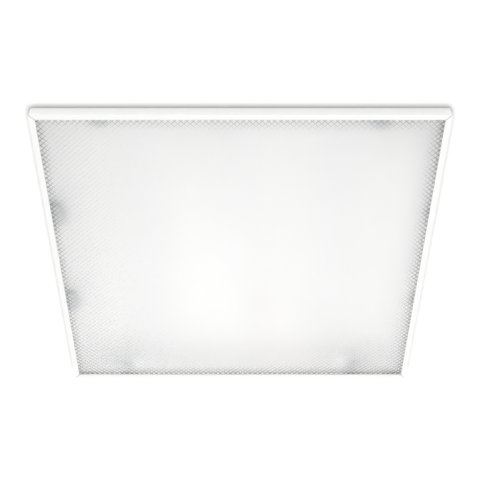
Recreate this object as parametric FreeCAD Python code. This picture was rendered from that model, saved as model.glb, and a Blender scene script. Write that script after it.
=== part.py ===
import FreeCAD, Part
import math
import os

os.makedirs("parts", exist_ok=True)
V = FreeCAD.Vector

# A square recessed troffer, in millimetres, lamp side down. The origin is the centre of the
# door's lower face. The door hangs on the +X side and is caught on the -X side. The ceiling
# board lies on the housing's flange, and all above the flange is hidden in the void.

# --- Door frame: four mitred rails, rolled from thin steel ---
SIDE = 595.0            # outer side, for a 600 mm ceiling module
WALL_H = 15.2           # outer wall
FRAME_SHEET = 0.8
LIP_W = 9.2             # white face round the lens
HEM_H = 3.0             # upstand that the lens rests on
RETURN_W = 6.0          # fold at the top of the wall
CORNER_R = 5.0          # outer corner in plan
FOLD_R = 0.8            # outer fold between wall and lip
MITRE_GAP = 0.25
KEY_SHEET = 1.2         # corner key
KEY_LEG = 38.0
KEY_START = 8.0         # where the key's upright legs start, from the inner corner
KEY_GAP = 0.3

# --- Lens and its clips ---
LENS_T = 2.2
LENS_EDGE_GAP = 1.7     # to the inside of the wall
LENS_CORNER = 4.0
CLIP_SHEET = 0.5
CLIP_W = 16.0
CLIP_FROM_END = 95.0    # middle of the clip from the lens's corner
CLIP_FOOT = 3.4
CLIP_REACH = 5.2
SPRING_BEND = 0.4

# --- Housing ---
SHADOW_GAP = 1.0        # between the door frame and the flange
SHEET = 0.8
FLANGE_INSET = 1.0      # flange edge inside the frame's outer face
FLANGE_W = 13.5         # from the flange's edge to the housing wall
PAN_WALL_H = 25.0       # from the ceiling face to the slope
PAN_RISE = 30.8         # height of the slope
PAN_SLOPE_W = 31.0
RIB_H = 3.0
RIB_TOP_W = 8.0
RIB_FOOT_W = 14.0
BEND = 1.0              # inner bend radius
SEAM = 0.1              # between sheets that are joined
TAB_FROM_RIB = 35.0     # also the hanger holes, in x
TAB_W = 30.0
TAB_L = 12.0
RIVET_R = 1.6
RIVET_HEAD_R = 3.0
RIVET_HEAD_H = 1.2
RIVET_TAIL_R = 2.4
RIVET_TAIL_H = 1.0
FIT = 0.05              # round a fixed shank
HEAD_TAPER = 0.75       # top of a screw or rivet head, as a share of its foot
HANGER_FROM_END = 82.2  # from the end plate's inside
HANGER_R = 3.5

# --- Door hinges and catches ---
HINGE_AT = 98.0         # from the middle of the rail, both ways
HINGE_INSET = 2.5       # axis inside the outer face
HINGE_Z = 9.0
HINGE_W = 19.2          # knuckle of the housing bracket
PIN_R = 1.25
PIN_HEAD_R = 2.0
PIN_HEAD_T = 0.8
PIN_FIT = 0.02
PIN_RUN = 0.06
KNUCKLE_R = 2.4
EAR_T = 1.0
EAR_GAP = 0.4
NOTCH_W = 26.0
NOTCH_Z = 6.2
LEAF_SHEET = 0.8
LEAF_L = 44.0
LEAF_W = 6.7
LEAF_LIFT = 0.1         # above the lens
LEAF_TAB_H = 6.7
LEAF_TAB_L = 8.0
BRACKET_SHEET = 1.0
BRACKET_EDGE = 0.6      # foot end from the housing wall
BRACKET_RIVET_R = 1.2
BRACKET_RIVET_HEAD_R = 1.7
BRACKET_RIVET_HEAD_H = 0.8
CATCH_W = 40.0
BLADE_SHEET = 1.0
BLADE_LIFT = 1.1        # above the lens
BLADE_ROOT_H = 7.3
BLADE_INSET = 7.2       # inner face of the upright, from the housing wall
BLADE_TIP_Z = 28.0
SPRING_SHEET = 0.5
SPRING_OFF = 1.1        # leg from the blade
BUMP = 0.8
BUMP_Z = 23.5
BUMP_H = 1.5
SPRING_TOP = 31.0
SPRING_BASE_TOP = 40.0
SPRING_LEG_END = 19.5
SPRING_RIVET_Z = 35.8

# --- Light strips ---
STRIP_COUNT = 4
STRIP_EDGE = 34.5       # outermost strip's middle from the edge of the flat top
STRIP_END_GAP = 17.2    # from the end plate
STRIP_W = 20.0
STRIP_T = 1.2
CHIP_COUNT = 24
CHIP_END = 16.6         # last chip from the strip's end
CHIP_W = 3.5
CHIP_L = 2.8
CHIP_T = 0.8
PLUG_W = 10.0
PLUG_L = 8.0
PLUG_H = 5.0
PLUG_INSET = 3.0
SCREW_CHIPS = 11        # chip pitches from the middle screw to the end ones, midway between two chips
STRIP_SCREW_Y = (-1, 0, 1)
SCREW_R = 1.4
SCREW_HEAD_R = 2.5
SCREW_HEAD_H = 1.5
SCREW_L = 3.7

# --- Ceiling clamps ---
CLAMP_FROM_WALL = 82.2  # screw axis from the housing wall
CLAMP_INSET = 10.2      # screw axis from the end plate
CLAMP_SHEET = 1.0
SHELF_Z = 18.0
SHELF_TOP_Z = 56.0
SHELF_BACK = 8.0        # past the axis, away from the plate
SHELF_SIDE = 9.0
CLAMP_SCREW_R = 2.0
CLAMP_SCREW_TIP = 2.0
CLAMP_HEAD_R = 3.6
CLAMP_HEAD_H = 2.6
CLAMP_SLOT_W = 1.0
CLAMP_RUN = 0.08
SHELF_RUN = 0.3
NUT_Z = 46.0
NUT_R = 4.0
NUT_H = 6.0
NUT_FLANGE_R = 5.5
NUT_FLANGE_T = 1.5
ARM_GAP = 0.25
ARM_T = 2.0
ARM_W = 10.0
ARM_L = 31.0
ARM_HUB_R = 6.5
ARM_HUB_H = 5.5
ARM_TOOTH = 4.0
CLAMP_TRAVEL = 17.0
WINDOW_SPAN = 42.0
WINDOW_BACK = 8.0

# --- Gear box on the housing ---
GEAR_X = 110.0
GEAR_Y = 300.0
GEAR_H = 38.0
GEAR_R = 2.0
FOOT_AT = 35.0
FOOT_W = 16.0
FOOT_L = 14.0
GEAR_SCREW_R = 2.0
GEAR_SCREW_HEAD_R = 3.8
GEAR_SCREW_HEAD_H = 2.2
GEAR_SCREW_BELOW = 2.2
KNOCKOUT_R = 10.0
KNOCKOUT_GROOVE = 0.5

# --- Gear box lid ---
LID_GAP = 0.3
LID_SIDE_GAP = 0.4
LID_SKIRT = 10.0
LID_EDGE = 0.4          # lid plate set in from the hinge wall
LID_PIN_R = 1.0
LID_KNUCKLE_R = 2.2
LID_AXIS_OUT = 2.6
LID_AXIS_DROP = 1.8
LID_HINGE_AT = 100.0
LID_KNUCKLE_L = 12.0
LID_KNUCKLE_GAP = 0.2
LID_PIN_HEAD_R = 1.8
LID_PIN_HEAD_T = 0.6
WEB_T = 1.2
LATCH_INSET = 7.5
LATCH_R = 1.8
LATCH_HEAD_R = 6.0
LATCH_HEAD_H = 2.4
LATCH_SLOT_W = 1.4
LATCH_BAR_L = 11.0
LATCH_BAR_W = 3.2
LATCH_BAR_T = 1.2
LATCH_GAP = 0.3
TAB_SLOT_ROOM = 0.6
LATCH_TAB_W = 20.0
LATCH_TAB_L = 14.0

# --- Driver ---
DRIVER_X = -27.0
DRIVER_Y = 25.0
DRIVER_W = 42.0
DRIVER_L = 150.0
DRIVER_H = 25.0
DRIVER_WALL = 1.0
DRIVER_EAR = 10.0
DRIVER_EAR_W = 30.0
DRIVER_SCREW_R = 1.8
DRIVER_HEAD_R = 3.4
DRIVER_HEAD_H = 1.8
PORT_W = 18.0
PORT_H = 7.0
PORT_Z = 9.0
VENT_COUNT = 9
VENT_PITCH = 12.0
VENT_W = 2.4
VENT_L = 24.0

# --- Terminal block ---
BLOCK_X = 28.0
BLOCK_Y = -100.0
BLOCK_L = 30.0
BLOCK_H = 18.0
WAYS = 3
WAY_W = 7.2
RIB_T = 1.5
CHANNEL_H = 6.0
ENTRY_R = 2.0
ENTRY_Z = 6.5
ENTRY_DEPTH = 11.0
LEVER_PIN_R = 1.0
LEVER_PIN_Y = 6.0
LEVER_PIN_DROP = 3.0
LEVER_SIDE_GAP = 0.3
LEVER_L = 19.0
LEVER_T = 3.0
LEVER_BOSS_R = 2.3
LEVER_GRIP = 4.0

# --- Cable entry, cord clamp, earth stud and lead grommet ---
CABLE_R = 4.0
CABLE_Z = 10.4          # above the gear box floor
GROMMET_NECK_R = 7.0
GROMMET_FLANGE_R = 9.5
GROMMET_FLANGE_T = 2.4
CLAMP_Y = -131.0
CLAMP_W = 32.0
CLAMP_L = 10.0
CLAMP_BAR_T = 4.6
CLAMP_BORE_R = 4.2
CLAMP_ARCH_T = 2.0
CLAMP_BOLT_AT = 11.0
CLAMP_BOLT_R = 1.5
CLAMP_BOLT_HEAD_R = 2.8
CLAMP_BOLT_HEAD_H = 1.8
CLAMP_BOLT_L = 9.0
STUD_X = 2.0
STUD_Y = -131.0
STUD_R = 2.0
STUD_H = 13.0
STUD_NUT_R = 4.0
STUD_NUT_H = 3.2
LEAD_X = 30.0
LEAD_Y = 100.0
LEAD_HOLE_R = 5.0
LEAD_BORE_R = 3.0
LEAD_FLANGE_R = 7.0
LEAD_FLANGE_T = 1.5

# --- Places worked out from the dimensions above ---
HALF = SIDE / 2
INNER = HALF - FRAME_SHEET                  # inside of the frame's wall
WINDOW = HALF - LIP_W                       # half of the clear light opening
LENS_HALF = INNER - LENS_EDGE_GAP
LENS_TOP = HEM_H + LENS_T
FLANGE_Z = WALL_H + SHADOW_GAP              # under the flange
CEILING_Z = FLANGE_Z + SHEET                # the ceiling's face
FLANGE_HALF = HALF - FLANGE_INSET
PAN_HALF = FLANGE_HALF - FLANGE_W
PAN_INNER = PAN_HALF - SHEET
BLADE_AT = PAN_INNER - BLADE_INSET
CLIP_AT = LENS_HALF - CLIP_FROM_END
TOP_HALF = PAN_HALF - PAN_SLOPE_W           # half of the housing's flat top
TOP_Z = CEILING_Z + PAN_WALL_H + PAN_RISE   # upper face of the housing
TOP_UNDER = TOP_Z - SHEET
HINGE_X = HALF - HINGE_INSET
STRIP_Z = TOP_UNDER - STRIP_T               # lower face of the strips
STRIP_PITCH = 2 * (TOP_HALF - STRIP_EDGE) / (STRIP_COUNT - 1)
STRIP_L = 2 * (PAN_INNER - STRIP_END_GAP)
CHIP_PITCH = (STRIP_L - 2 * CHIP_END) / (CHIP_COUNT - 1)
STRIP_SCREW_AT = SCREW_CHIPS * CHIP_PITCH
RIB_AT = STRIP_PITCH                        # the ribs lie between the inner and outer strips
TAB_AT = RIB_AT + TAB_FROM_RIB
HANGER_Y = PAN_INNER - HANGER_FROM_END
CLAMP_X = PAN_INNER - CLAMP_FROM_WALL
CLAMP_AXIS_Y = PAN_INNER - CLAMP_INSET
GEAR_FLOOR = TOP_Z + SHEET
GEAR_TOP = TOP_Z + GEAR_H
LID_AXIS_X = -GEAR_X / 2 - LID_AXIS_OUT
LID_AXIS_Z = GEAR_TOP - LID_AXIS_DROP
LID_UNDER = GEAR_TOP + LID_GAP
LATCH_X = GEAR_X / 2 - LATCH_INSET
BLOCK_W = WAYS * WAY_W + (WAYS + 1) * RIB_T
BLOCK_TOP = GEAR_FLOOR + BLOCK_H
LEVER_AXIS_Y = BLOCK_Y + LEVER_PIN_Y
LEVER_AXIS_Z = BLOCK_TOP - LEVER_PIN_DROP
CABLE_AXIS_Z = GEAR_FLOOR + CABLE_Z
STRIP_X = [(n - (STRIP_COUNT - 1) / 2) * STRIP_PITCH for n in range(STRIP_COUNT)]
PAIR = (-1, 1)


def box(x0, x1, y0, y1, z0, z1):
    """A block between two corners."""
    corner = V(min(x0, x1), min(y0, y1), min(z0, z1))
    return Part.makeBox(abs(x1 - x0), abs(y1 - y0), abs(z1 - z0), corner)


def square(half, z0, z1):
    """A square block about the origin."""
    return box(-half, half, -half, half, z0, z1)


def soft_box(x0, x1, y0, y1, z0, z1, radius):
    """A block whose upright edges are rounded."""
    block = box(x0, x1, y0, y1, z0, z1)
    upright = [e for e in block.Edges if abs(e.tangentAt(e.FirstParameter).z) > 0.9]
    return block.makeFillet(radius, upright)


def rod(radius, start, end):
    """A round bar between two points."""
    along = V(*end) - V(*start)
    return Part.makeCylinder(radius, along.Length, V(*start), along)


def prism(outline, z0, z1):
    """An outline in plan, raised between two heights."""
    points = [V(x, y, z0) for x, y in outline]
    return Part.Face(Part.makePolygon(points + points[:1])).extrude(V(0, 0, z1 - z0))


def turned(shape, quarter):
    """A copy turned about the centre by a number of quarter turns."""
    copy = shape.copy()
    copy.rotate(V(0, 0, 0), V(0, 0, 1), 90 * quarter)
    return copy


def mirrored(shape, sign_x, sign_y):
    """A copy carried to another corner, from the one where both signs are plus."""
    copy = shape
    if sign_x < 0:
        copy = copy.mirror(V(0, 0, 0), V(1, 0, 0))
    if sign_y < 0:
        copy = copy.mirror(V(0, 0, 0), V(0, 1, 0))
    return copy


def left_of(start, end):
    """The unit vector to the left of a run in the XZ plane."""
    run = (end - start).normalize()
    return V(-run.z, 0, run.x)


def beside(path, distance):
    """The path moved to its left, with its corners carried along."""
    result = []
    for i, point in enumerate(path):
        before = left_of(path[max(i - 1, 0)], path[max(i, 1)])
        after = left_of(path[min(i, len(path) - 2)], path[min(i + 1, len(path) - 1)])
        across = before + after
        result.append(point + across * (2 * distance / across.Length ** 2))
    return result


def rounded_run(path, radii):
    """The edges along a path, with an arc at each inner corner."""
    edges = []
    start = path[0]
    for i in range(1, len(path) - 1):
        back = (path[i - 1] - path[i]).normalize()
        ahead = (path[i + 1] - path[i]).normalize()
        half = back.getAngle(ahead) / 2
        middle = (back + ahead).normalize()
        reach = radii[i] / math.tan(half)
        crown = radii[i] / math.sin(half) - radii[i]
        arc_start = path[i] + back * reach
        arc_end = path[i] + ahead * reach
        edges.append(Part.LineSegment(start, arc_start).toShape())
        edges.append(Part.Arc(arc_start, path[i] + middle * crown, arc_end).toShape())
        start = arc_end
    edges.append(Part.LineSegment(start, path[-1]).toShape())
    return edges


def bend_radii(path, sheet, bend):
    """Bend radii along a path and along its left side, one sheet away."""
    near, far = [0.0], [0.0]
    for i in range(1, len(path) - 1):
        first = path[i] - path[i - 1]
        second = path[i + 1] - path[i]
        turns_left = first.x * second.z - first.z * second.x > 0
        near.append(bend + sheet if turns_left else bend)
        far.append(bend if turns_left else bend + sheet)
    return near + [0.0], far + [0.0]


def folded(path, sheet, bend, y0, y1):
    """Sheet folded along a path of (x, z) points, lying to the path's left, from y0 to y1."""
    near = [V(x, 0, z) for x, z in path]
    far = beside(near, sheet)
    near_radii, far_radii = bend_radii(near, sheet, bend)
    edges = rounded_run(near, near_radii) + rounded_run(far, far_radii)
    edges.append(Part.LineSegment(near[0], far[0]).toShape())
    edges.append(Part.LineSegment(near[-1], far[-1]).toShape())
    section = Part.Face(Part.Wire(Part.__sortEdges__(edges)))
    section.translate(V(0, y0, 0))
    return section.extrude(V(0, y1 - y0, 0))


def headed(shank_r, head_r, head_h, seat, tip, up=1):
    """A screw or rivet: a tapered head on a seat, with its shank to a tip. All are along Z."""
    x, y, z = seat
    head = Part.makeCone(head_r, head_r * HEAD_TAPER, head_h, V(x, y, z), V(0, 0, up))
    return head.fuse(rod(shank_r, (x, y, z), (x, y, tip))).removeSplitter()


def group(shapes):
    """Separate solids that share a node."""
    return Part.makeCompound([s for shape in shapes for s in shape.Solids])


# --- Door frame ---
def frame_ring():
    """The whole folded section run round the square, before the mitres part it."""
    shell = soft_box(-HALF, HALF, -HALF, HALF, 0, WALL_H, CORNER_R)
    low = [e for e in shell.Edges if e.BoundBox.ZMax < WALL_H / 2]
    shell = shell.makeFillet(FOLD_R, low)
    inside = soft_box(-INNER, INNER, -INNER, INNER, FRAME_SHEET, WALL_H - FRAME_SHEET,
                      CORNER_R - FRAME_SHEET)
    ring = shell.cut(inside).cut(square(WINDOW, 0, FRAME_SHEET))
    ring = ring.cut(square(INNER - RETURN_W, WALL_H - FRAME_SHEET, WALL_H))
    hem = square(WINDOW + FRAME_SHEET, 0, HEM_H).cut(square(WINDOW, 0, HEM_H))
    return ring.fuse(hem).removeSplitter()


def frame_rail(ring, quarter):
    """One side of the ring between its two mitres. Quarter 0 is the +X side."""
    back = MITRE_GAP / math.sqrt(2)
    sector = prism([(back, 0), (SIDE + back, -SIDE), (SIDE + back, SIDE)], 0, WALL_H)
    return ring.common(turned(sector, quarter)).Solids[0]


def hinge_rail(ring):
    """The +X rail, with its wall and return notched round each hinge."""
    rail = frame_rail(ring, 0)
    for side in PAIR:
        middle = side * HINGE_AT
        notch = box(INNER - RETURN_W, SIDE, middle - NOTCH_W / 2, middle + NOTCH_W / 2, NOTCH_Z, WALL_H)
        rail = rail.cut(notch)
    return rail.Solids[0]


def corner_keys():
    """Pressed keys that join the rails at the mitres: flat on the lip, with two upright legs."""
    inside = WINDOW + FRAME_SHEET + KEY_GAP
    outside = INNER - KEY_GAP
    low = FRAME_SHEET
    high = WALL_H - FRAME_SHEET - KEY_GAP
    end = INNER - KEY_LEG
    chamfer = CORNER_R
    flat = prism([(outside, end), (outside, outside - chamfer), (outside - chamfer, outside),
                  (end, outside), (end, inside), (inside, inside), (inside, end)], low, low + KEY_SHEET)
    leg_x = box(outside - KEY_SHEET, outside, end, outside - KEY_START, low, high)
    leg_y = box(end, outside - KEY_START, outside - KEY_SHEET, outside, low, high)
    key = flat.fuse([leg_x, leg_y]).removeSplitter()
    return group([turned(key, n) for n in range(4)])


def lens():
    """The flat diffuser sheet, laid on the hems."""
    sheet = square(LENS_HALF, HEM_H, LENS_TOP)
    upright = [e for e in sheet.Edges if abs(e.tangentAt(e.FirstParameter).z) > 0.9]
    return sheet.makeChamfer(LENS_CORNER, upright)


def lens_clips():
    """Spring clips from the wall's return down to the lens, two on each rail."""
    top = WALL_H - FRAME_SHEET
    front = INNER - KEY_GAP - CLIP_REACH
    path = [(INNER - KEY_GAP, top), (front, top), (front, LENS_TOP), (front + CLIP_FOOT, LENS_TOP)]
    clips = []
    for side in PAIR:
        middle = side * CLIP_AT
        clips.append(folded(path, CLIP_SHEET, SPRING_BEND, middle - CLIP_W / 2, middle + CLIP_W / 2))
    return group([turned(clip, n) for clip in clips for n in range(4)])


# --- Door hinges ---
def hinge_leaf(middle):
    """The door's half of a hinge: a strip over the lens, two eyes, and tabs welded to the wall."""
    low = LENS_TOP + LEAF_LIFT
    leaf = box(INNER - LEAF_W, INNER, middle - LEAF_L / 2, middle + LEAF_L / 2, low, low + LEAF_SHEET)
    for side in PAIR:
        end = middle + side * LEAF_L / 2
        tab = box(INNER - LEAF_SHEET, INNER, end, end - side * LEAF_TAB_L, low, low + LEAF_TAB_H)
        eye = middle + side * (HINGE_W / 2 + EAR_GAP)
        ring = rod(KNUCKLE_R, (HINGE_X, eye, HINGE_Z), (HINGE_X, eye + side * EAR_T, HINGE_Z))
        ear = box(HINGE_X - KNUCKLE_R, INNER - SEAM, eye, eye + side * EAR_T, low, HINGE_Z)
        leaf = leaf.fuse([tab, ring, ear])
    reach = HINGE_W
    bore = rod(PIN_R + PIN_FIT, (HINGE_X, middle - reach, HINGE_Z), (HINGE_X, middle + reach, HINGE_Z))
    return leaf.cut(bore).removeSplitter()


def hinge_pin(middle):
    """A pin whose ends are spread outside the leaf's two eyes."""
    eye = HINGE_W / 2 + EAR_GAP + EAR_T + PIN_FIT
    pin = rod(PIN_R, (HINGE_X, middle - eye, HINGE_Z), (HINGE_X, middle + eye, HINGE_Z))
    for side in PAIR:
        start = middle + side * eye
        stop = start + side * PIN_HEAD_T
        head = rod(PIN_HEAD_R, (HINGE_X, start, HINGE_Z), (HINGE_X, stop, HINGE_Z))
        pin = pin.fuse(head)
    return pin.removeSplitter()


def hinge_bracket(middle):
    """The housing's half of a hinge: a curled knuckle, an arm and a foot under the flange."""
    y0, y1 = middle - HINGE_W / 2, middle + HINGE_W / 2
    foot_top = FLANGE_Z
    edge = PAN_INNER + BRACKET_EDGE
    arm = HINGE_X + BRACKET_SHEET / 2
    path = [(edge, foot_top), (arm, foot_top), (arm, HINGE_Z)]
    strip = folded([path[2], path[1], path[0]], BRACKET_SHEET, BEND / 2, y0, y1)
    knuckle = rod(KNUCKLE_R, (HINGE_X, y0, HINGE_Z), (HINGE_X, y1, HINGE_Z))
    bore = rod(PIN_R + PIN_RUN, (HINGE_X, y0, HINGE_Z), (HINGE_X, y1, HINGE_Z))
    bracket = strip.fuse(knuckle).cut(bore)
    for x, y in bracket_rivet_places(middle):
        bracket = bracket.cut(rod(BRACKET_RIVET_R + FIT, (x, y, HINGE_Z + KNUCKLE_R), (x, y, CEILING_Z)))
    return bracket.removeSplitter()


def bracket_rivet_places(middle):
    """Two rivets in a bracket's foot, between the housing wall and the edge of the ceiling board."""
    x = PAN_HALF + BEND + SEAM + BRACKET_RIVET_HEAD_R
    return [(x, middle + side * HINGE_W / 4) for side in PAIR]


def bracket_rivets():
    """Rivets through the brackets' feet and the flange."""
    rivets = []
    for side in PAIR:
        for x, y in bracket_rivet_places(side * HINGE_AT):
            below = FLANGE_Z - BRACKET_SHEET
            seat = (x, y, CEILING_Z)
            body = headed(BRACKET_RIVET_R, BRACKET_RIVET_HEAD_R, BRACKET_RIVET_HEAD_H, seat, below)
            tail = rod(BRACKET_RIVET_HEAD_R, (x, y, below), (x, y, below - BRACKET_RIVET_HEAD_H))
            rivets.append(body.fuse(tail).removeSplitter())
    return group(rivets)


# --- Door catches ---
def catch_blade(middle):
    """A folded blade on the door: up the wall's inside, over the lens, and up to the spring."""
    low = LENS_TOP + BLADE_LIFT
    path = [(-INNER, low + BLADE_ROOT_H), (-INNER, low), (-BLADE_AT, low), (-BLADE_AT, BLADE_TIP_Z)]
    return folded(path, BLADE_SHEET, BEND / 2, middle - CATCH_W / 2, middle + CATCH_W / 2)


def catch_spring(middle):
    """A leaf spring on the housing wall, whose bump holds the blade."""
    leg = -BLADE_AT + SPRING_OFF
    path = [(-PAN_INNER, SPRING_BASE_TOP), (-PAN_INNER, SPRING_TOP), (leg, SPRING_TOP),
            (leg, BUMP_Z + BUMP_H), (leg - BUMP, BUMP_Z), (leg, BUMP_Z - BUMP_H),
            (leg, SPRING_LEG_END), (leg + BUMP_H, SPRING_LEG_END - 2 * BUMP_H)]
    spring = folded(path, SPRING_SHEET, SPRING_BEND, middle - CATCH_W / 2, middle + CATCH_W / 2)
    for y in catch_rivet_places(middle):
        hole = rod(RIVET_R + FIT, (-PAN_HALF, y, SPRING_RIVET_Z), (-PAN_INNER + SHEET, y, SPRING_RIVET_Z))
        spring = spring.cut(hole)
    return spring


def catch_rivet_places(middle):
    """Two rivets through a spring's base."""
    return [middle + side * CATCH_W / 4 for side in PAIR]


# --- Housing ---
def pan_path():
    """The housing's folded outline over the flange, from the +X edge to the -X edge."""
    half = [(FLANGE_HALF, CEILING_Z), (PAN_HALF, CEILING_Z)]
    half += [(PAN_HALF, CEILING_Z + PAN_WALL_H), (TOP_HALF, TOP_Z)]
    half += [(RIB_AT + RIB_FOOT_W / 2, TOP_Z), (RIB_AT + RIB_TOP_W / 2, TOP_Z + RIB_H)]
    half += [(RIB_AT - RIB_TOP_W / 2, TOP_Z + RIB_H), (RIB_AT - RIB_FOOT_W / 2, TOP_Z)]
    return half + [(-x, z) for x, z in reversed(half)]


def end_mitre(quarter):
    """The plan area past the end of the pan that belongs to an end plate's flange."""
    back = MITRE_GAP / 2
    reach = FLANGE_HALF + 1
    inner = PAN_HALF
    outline = [(inner, -inner - back), (inner, inner + back), (reach, reach + back), (reach, -reach - back)]
    return turned(prism(outline, 0, TOP_Z + GEAR_H), quarter)


def strip_screw_places():
    """Three screws along each strip."""
    return [(x, n * STRIP_SCREW_AT) for x in STRIP_X for n in STRIP_SCREW_Y]


def gear_screw_places():
    """The gear box's four feet."""
    y = GEAR_Y / 2 + FOOT_L / 2
    return [(sx * FOOT_AT, sy * y) for sx in PAIR for sy in PAIR]


def tab_rivet_places():
    """The end plates' three top tabs, at both ends."""
    y = PAN_INNER - TAB_L / 2
    return [(n * TAB_AT, side * y) for n in (-1, 0, 1) for side in PAIR]


def housing_pan():
    """The long folded sheet: two flanges, two walls, two slopes and the ribbed top."""
    pan = folded(pan_path(), SHEET, BEND, -FLANGE_HALF, FLANGE_HALF)
    pan = pan.cut([end_mitre(1), end_mitre(3)])
    holes = [(x, y, SCREW_R + FIT) for x, y in strip_screw_places()]
    holes += [(x, y, GEAR_SCREW_R + FIT) for x, y in gear_screw_places()]
    holes += [(x, y, RIVET_R + FIT) for x, y in tab_rivet_places()]
    holes += [(sx * TAB_AT, sy * HANGER_Y, HANGER_R) for sx in PAIR for sy in PAIR]
    holes.append((LEAD_X, LEAD_Y, LEAD_HOLE_R))
    drills = [rod(r, (x, y, TOP_UNDER - 1), (x, y, TOP_Z + 1)) for x, y, r in holes]
    for side in PAIR:
        for x, y in bracket_rivet_places(side * HINGE_AT):
            drills.append(rod(BRACKET_RIVET_R + FIT, (x, y, FLANGE_Z), (x, y, CEILING_Z)))
        for y in catch_rivet_places(side * HINGE_AT):
            drills.append(rod(RIVET_R + FIT, (-PAN_HALF, y, SPRING_RIVET_Z), (-PAN_INNER, y, SPRING_RIVET_Z)))
    return pan.cut(drills).Solids[0]


def end_plate():
    """The +Y end: a plate that closes the folded pan, with its flange, tabs and clamp windows."""
    path = [V(x, 0, z) for x, z in pan_path()]
    inner = beside(path, SHEET + SEAM)
    radii = bend_radii(path, SHEET, BEND)[1]
    outline = inner[1:-1]
    outline[0] = V(outline[0].x, 0, FLANGE_Z)
    outline[-1] = V(outline[-1].x, 0, FLANGE_Z)
    edges = rounded_run(outline, radii[1:-1])
    edges.append(Part.LineSegment(outline[0], outline[-1]).toShape())
    plate = Part.Face(Part.Wire(Part.__sortEdges__(edges))).extrude(V(0, SHEET, 0))
    plate.translate(V(0, PAN_INNER, 0))
    back = MITRE_GAP / 2
    inset = PAN_INNER - SEAM
    root = PAN_HALF + SEAM + SHEET
    edge = FLANGE_HALF - back
    flange = prism([(-inset, PAN_INNER), (inset, PAN_INNER), (inset, root), (edge, FLANGE_HALF),
                    (-edge, FLANGE_HALF), (-inset, root)], FLANGE_Z, CEILING_Z)
    high = TOP_UNDER - SEAM
    for n in (-1, 0, 1):
        middle = n * TAB_AT
        tab = box(middle - TAB_W / 2, middle + TAB_W / 2, PAN_INNER - TAB_L, PAN_INNER, high - SHEET, high)
        plate = plate.fuse(tab)
        y = PAN_INNER - TAB_L / 2
        plate = plate.cut(rod(RIVET_R + FIT, (middle, y, STRIP_Z), (middle, y, TOP_Z)))
    plate = plate.fuse(flange)
    for side in PAIR:
        toward = -side
        start = side * CLAMP_X - toward * WINDOW_BACK
        low = NUT_Z - CLAMP_TRAVEL - ARM_TOOTH - ARM_GAP
        window = box(start, start + toward * WINDOW_SPAN, PAN_INNER - 1, PAN_HALF + 1, low, SHELF_TOP_Z - 1)
        plate = plate.cut(window)
    return plate.removeSplitter()


def housing_rivets():
    """Rivets in the end plates' tabs and through the catch springs."""
    rivets = []
    below = TOP_UNDER - SEAM - SHEET
    for x, y in tab_rivet_places():
        body = headed(RIVET_R, RIVET_HEAD_R, RIVET_HEAD_H, (x, y, TOP_Z), below)
        tail = rod(RIVET_TAIL_R, (x, y, below), (x, y, below - RIVET_TAIL_H))
        rivets.append(body.fuse(tail).removeSplitter())
    for side in PAIR:
        for y in catch_rivet_places(side * HINGE_AT):
            z = SPRING_RIVET_Z
            inner = -PAN_INNER + SPRING_SHEET
            shank = rod(RIVET_R, (-PAN_HALF, y, z), (inner, y, z))
            head = rod(RIVET_TAIL_R, (-PAN_HALF, y, z), (-PAN_HALF - RIVET_TAIL_H, y, z))
            tail = rod(RIVET_TAIL_R, (inner, y, z), (inner + RIVET_TAIL_H, y, z))
            rivets.append(shank.fuse([head, tail]).removeSplitter())
    return group(rivets)


# --- Light strips ---
def led_strip(x):
    """A long narrow board under the housing's top."""
    board = box(x - STRIP_W / 2, x + STRIP_W / 2, -STRIP_L / 2, STRIP_L / 2, STRIP_Z, TOP_UNDER)
    drills = [rod(SCREW_R + FIT, (x, n * STRIP_SCREW_AT, STRIP_Z), (x, n * STRIP_SCREW_AT, TOP_UNDER))
              for n in STRIP_SCREW_Y]
    return board.cut(drills)


def led_chips():
    """The light sources: small square packages in a row on each strip."""
    chips = []
    for x in STRIP_X:
        for n in range(CHIP_COUNT):
            y = (n - (CHIP_COUNT - 1) / 2) * CHIP_PITCH
            chips.append(box(x - CHIP_W / 2, x + CHIP_W / 2, y - CHIP_L / 2, y + CHIP_L / 2,
                             STRIP_Z - CHIP_T, STRIP_Z))
    return group(chips)


def strip_connectors():
    """A lead connector at the rear end of each strip, beside the row of chips."""
    plugs = []
    for x in STRIP_X:
        end = STRIP_L / 2 - PLUG_INSET
        body = box(x - PLUG_W / 2, x + PLUG_W / 2, end - PLUG_L, end, STRIP_Z - PLUG_H, STRIP_Z)
        for side in PAIR:
            hole_x = x + side * PLUG_W / 4
            z = STRIP_Z - PLUG_H / 2
            body = body.cut(rod(PLUG_H / 5, (hole_x, end, z), (hole_x, end - PLUG_L / 2, z)))
        plugs.append(body)
    return group(plugs)


def strip_screws():
    """Screws that hold the strips to the housing's top."""
    tip = STRIP_Z + SCREW_L
    return group([headed(SCREW_R, SCREW_HEAD_R, SCREW_HEAD_H, (x, y, STRIP_Z), tip, -1)
                  for x, y in strip_screw_places()])


# --- Ceiling clamps, drawn for the corner where x and y are plus ---
def clamp_bracket():
    """A C-shaped bracket on the end plate, with a shelf at each end of the screw."""
    x, y = CLAMP_X, CLAMP_AXIS_Y
    back, front = y - SHELF_BACK, PAN_INNER
    web_x = x + SHELF_SIDE
    low = box(x - SHELF_SIDE, web_x, back, front, SHELF_Z, SHELF_Z + CLAMP_SHEET)
    high = box(x - SHELF_SIDE, web_x, back, front, SHELF_TOP_Z, SHELF_TOP_Z + CLAMP_SHEET)
    web = box(web_x, web_x + CLAMP_SHEET, back, front, SHELF_Z, SHELF_TOP_Z + CLAMP_SHEET)
    bore = rod(CLAMP_SCREW_R + SHELF_RUN, (x, y, SHELF_Z), (x, y, SHELF_TOP_Z + CLAMP_SHEET))
    return low.fuse([high, web]).cut(bore).removeSplitter()


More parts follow.
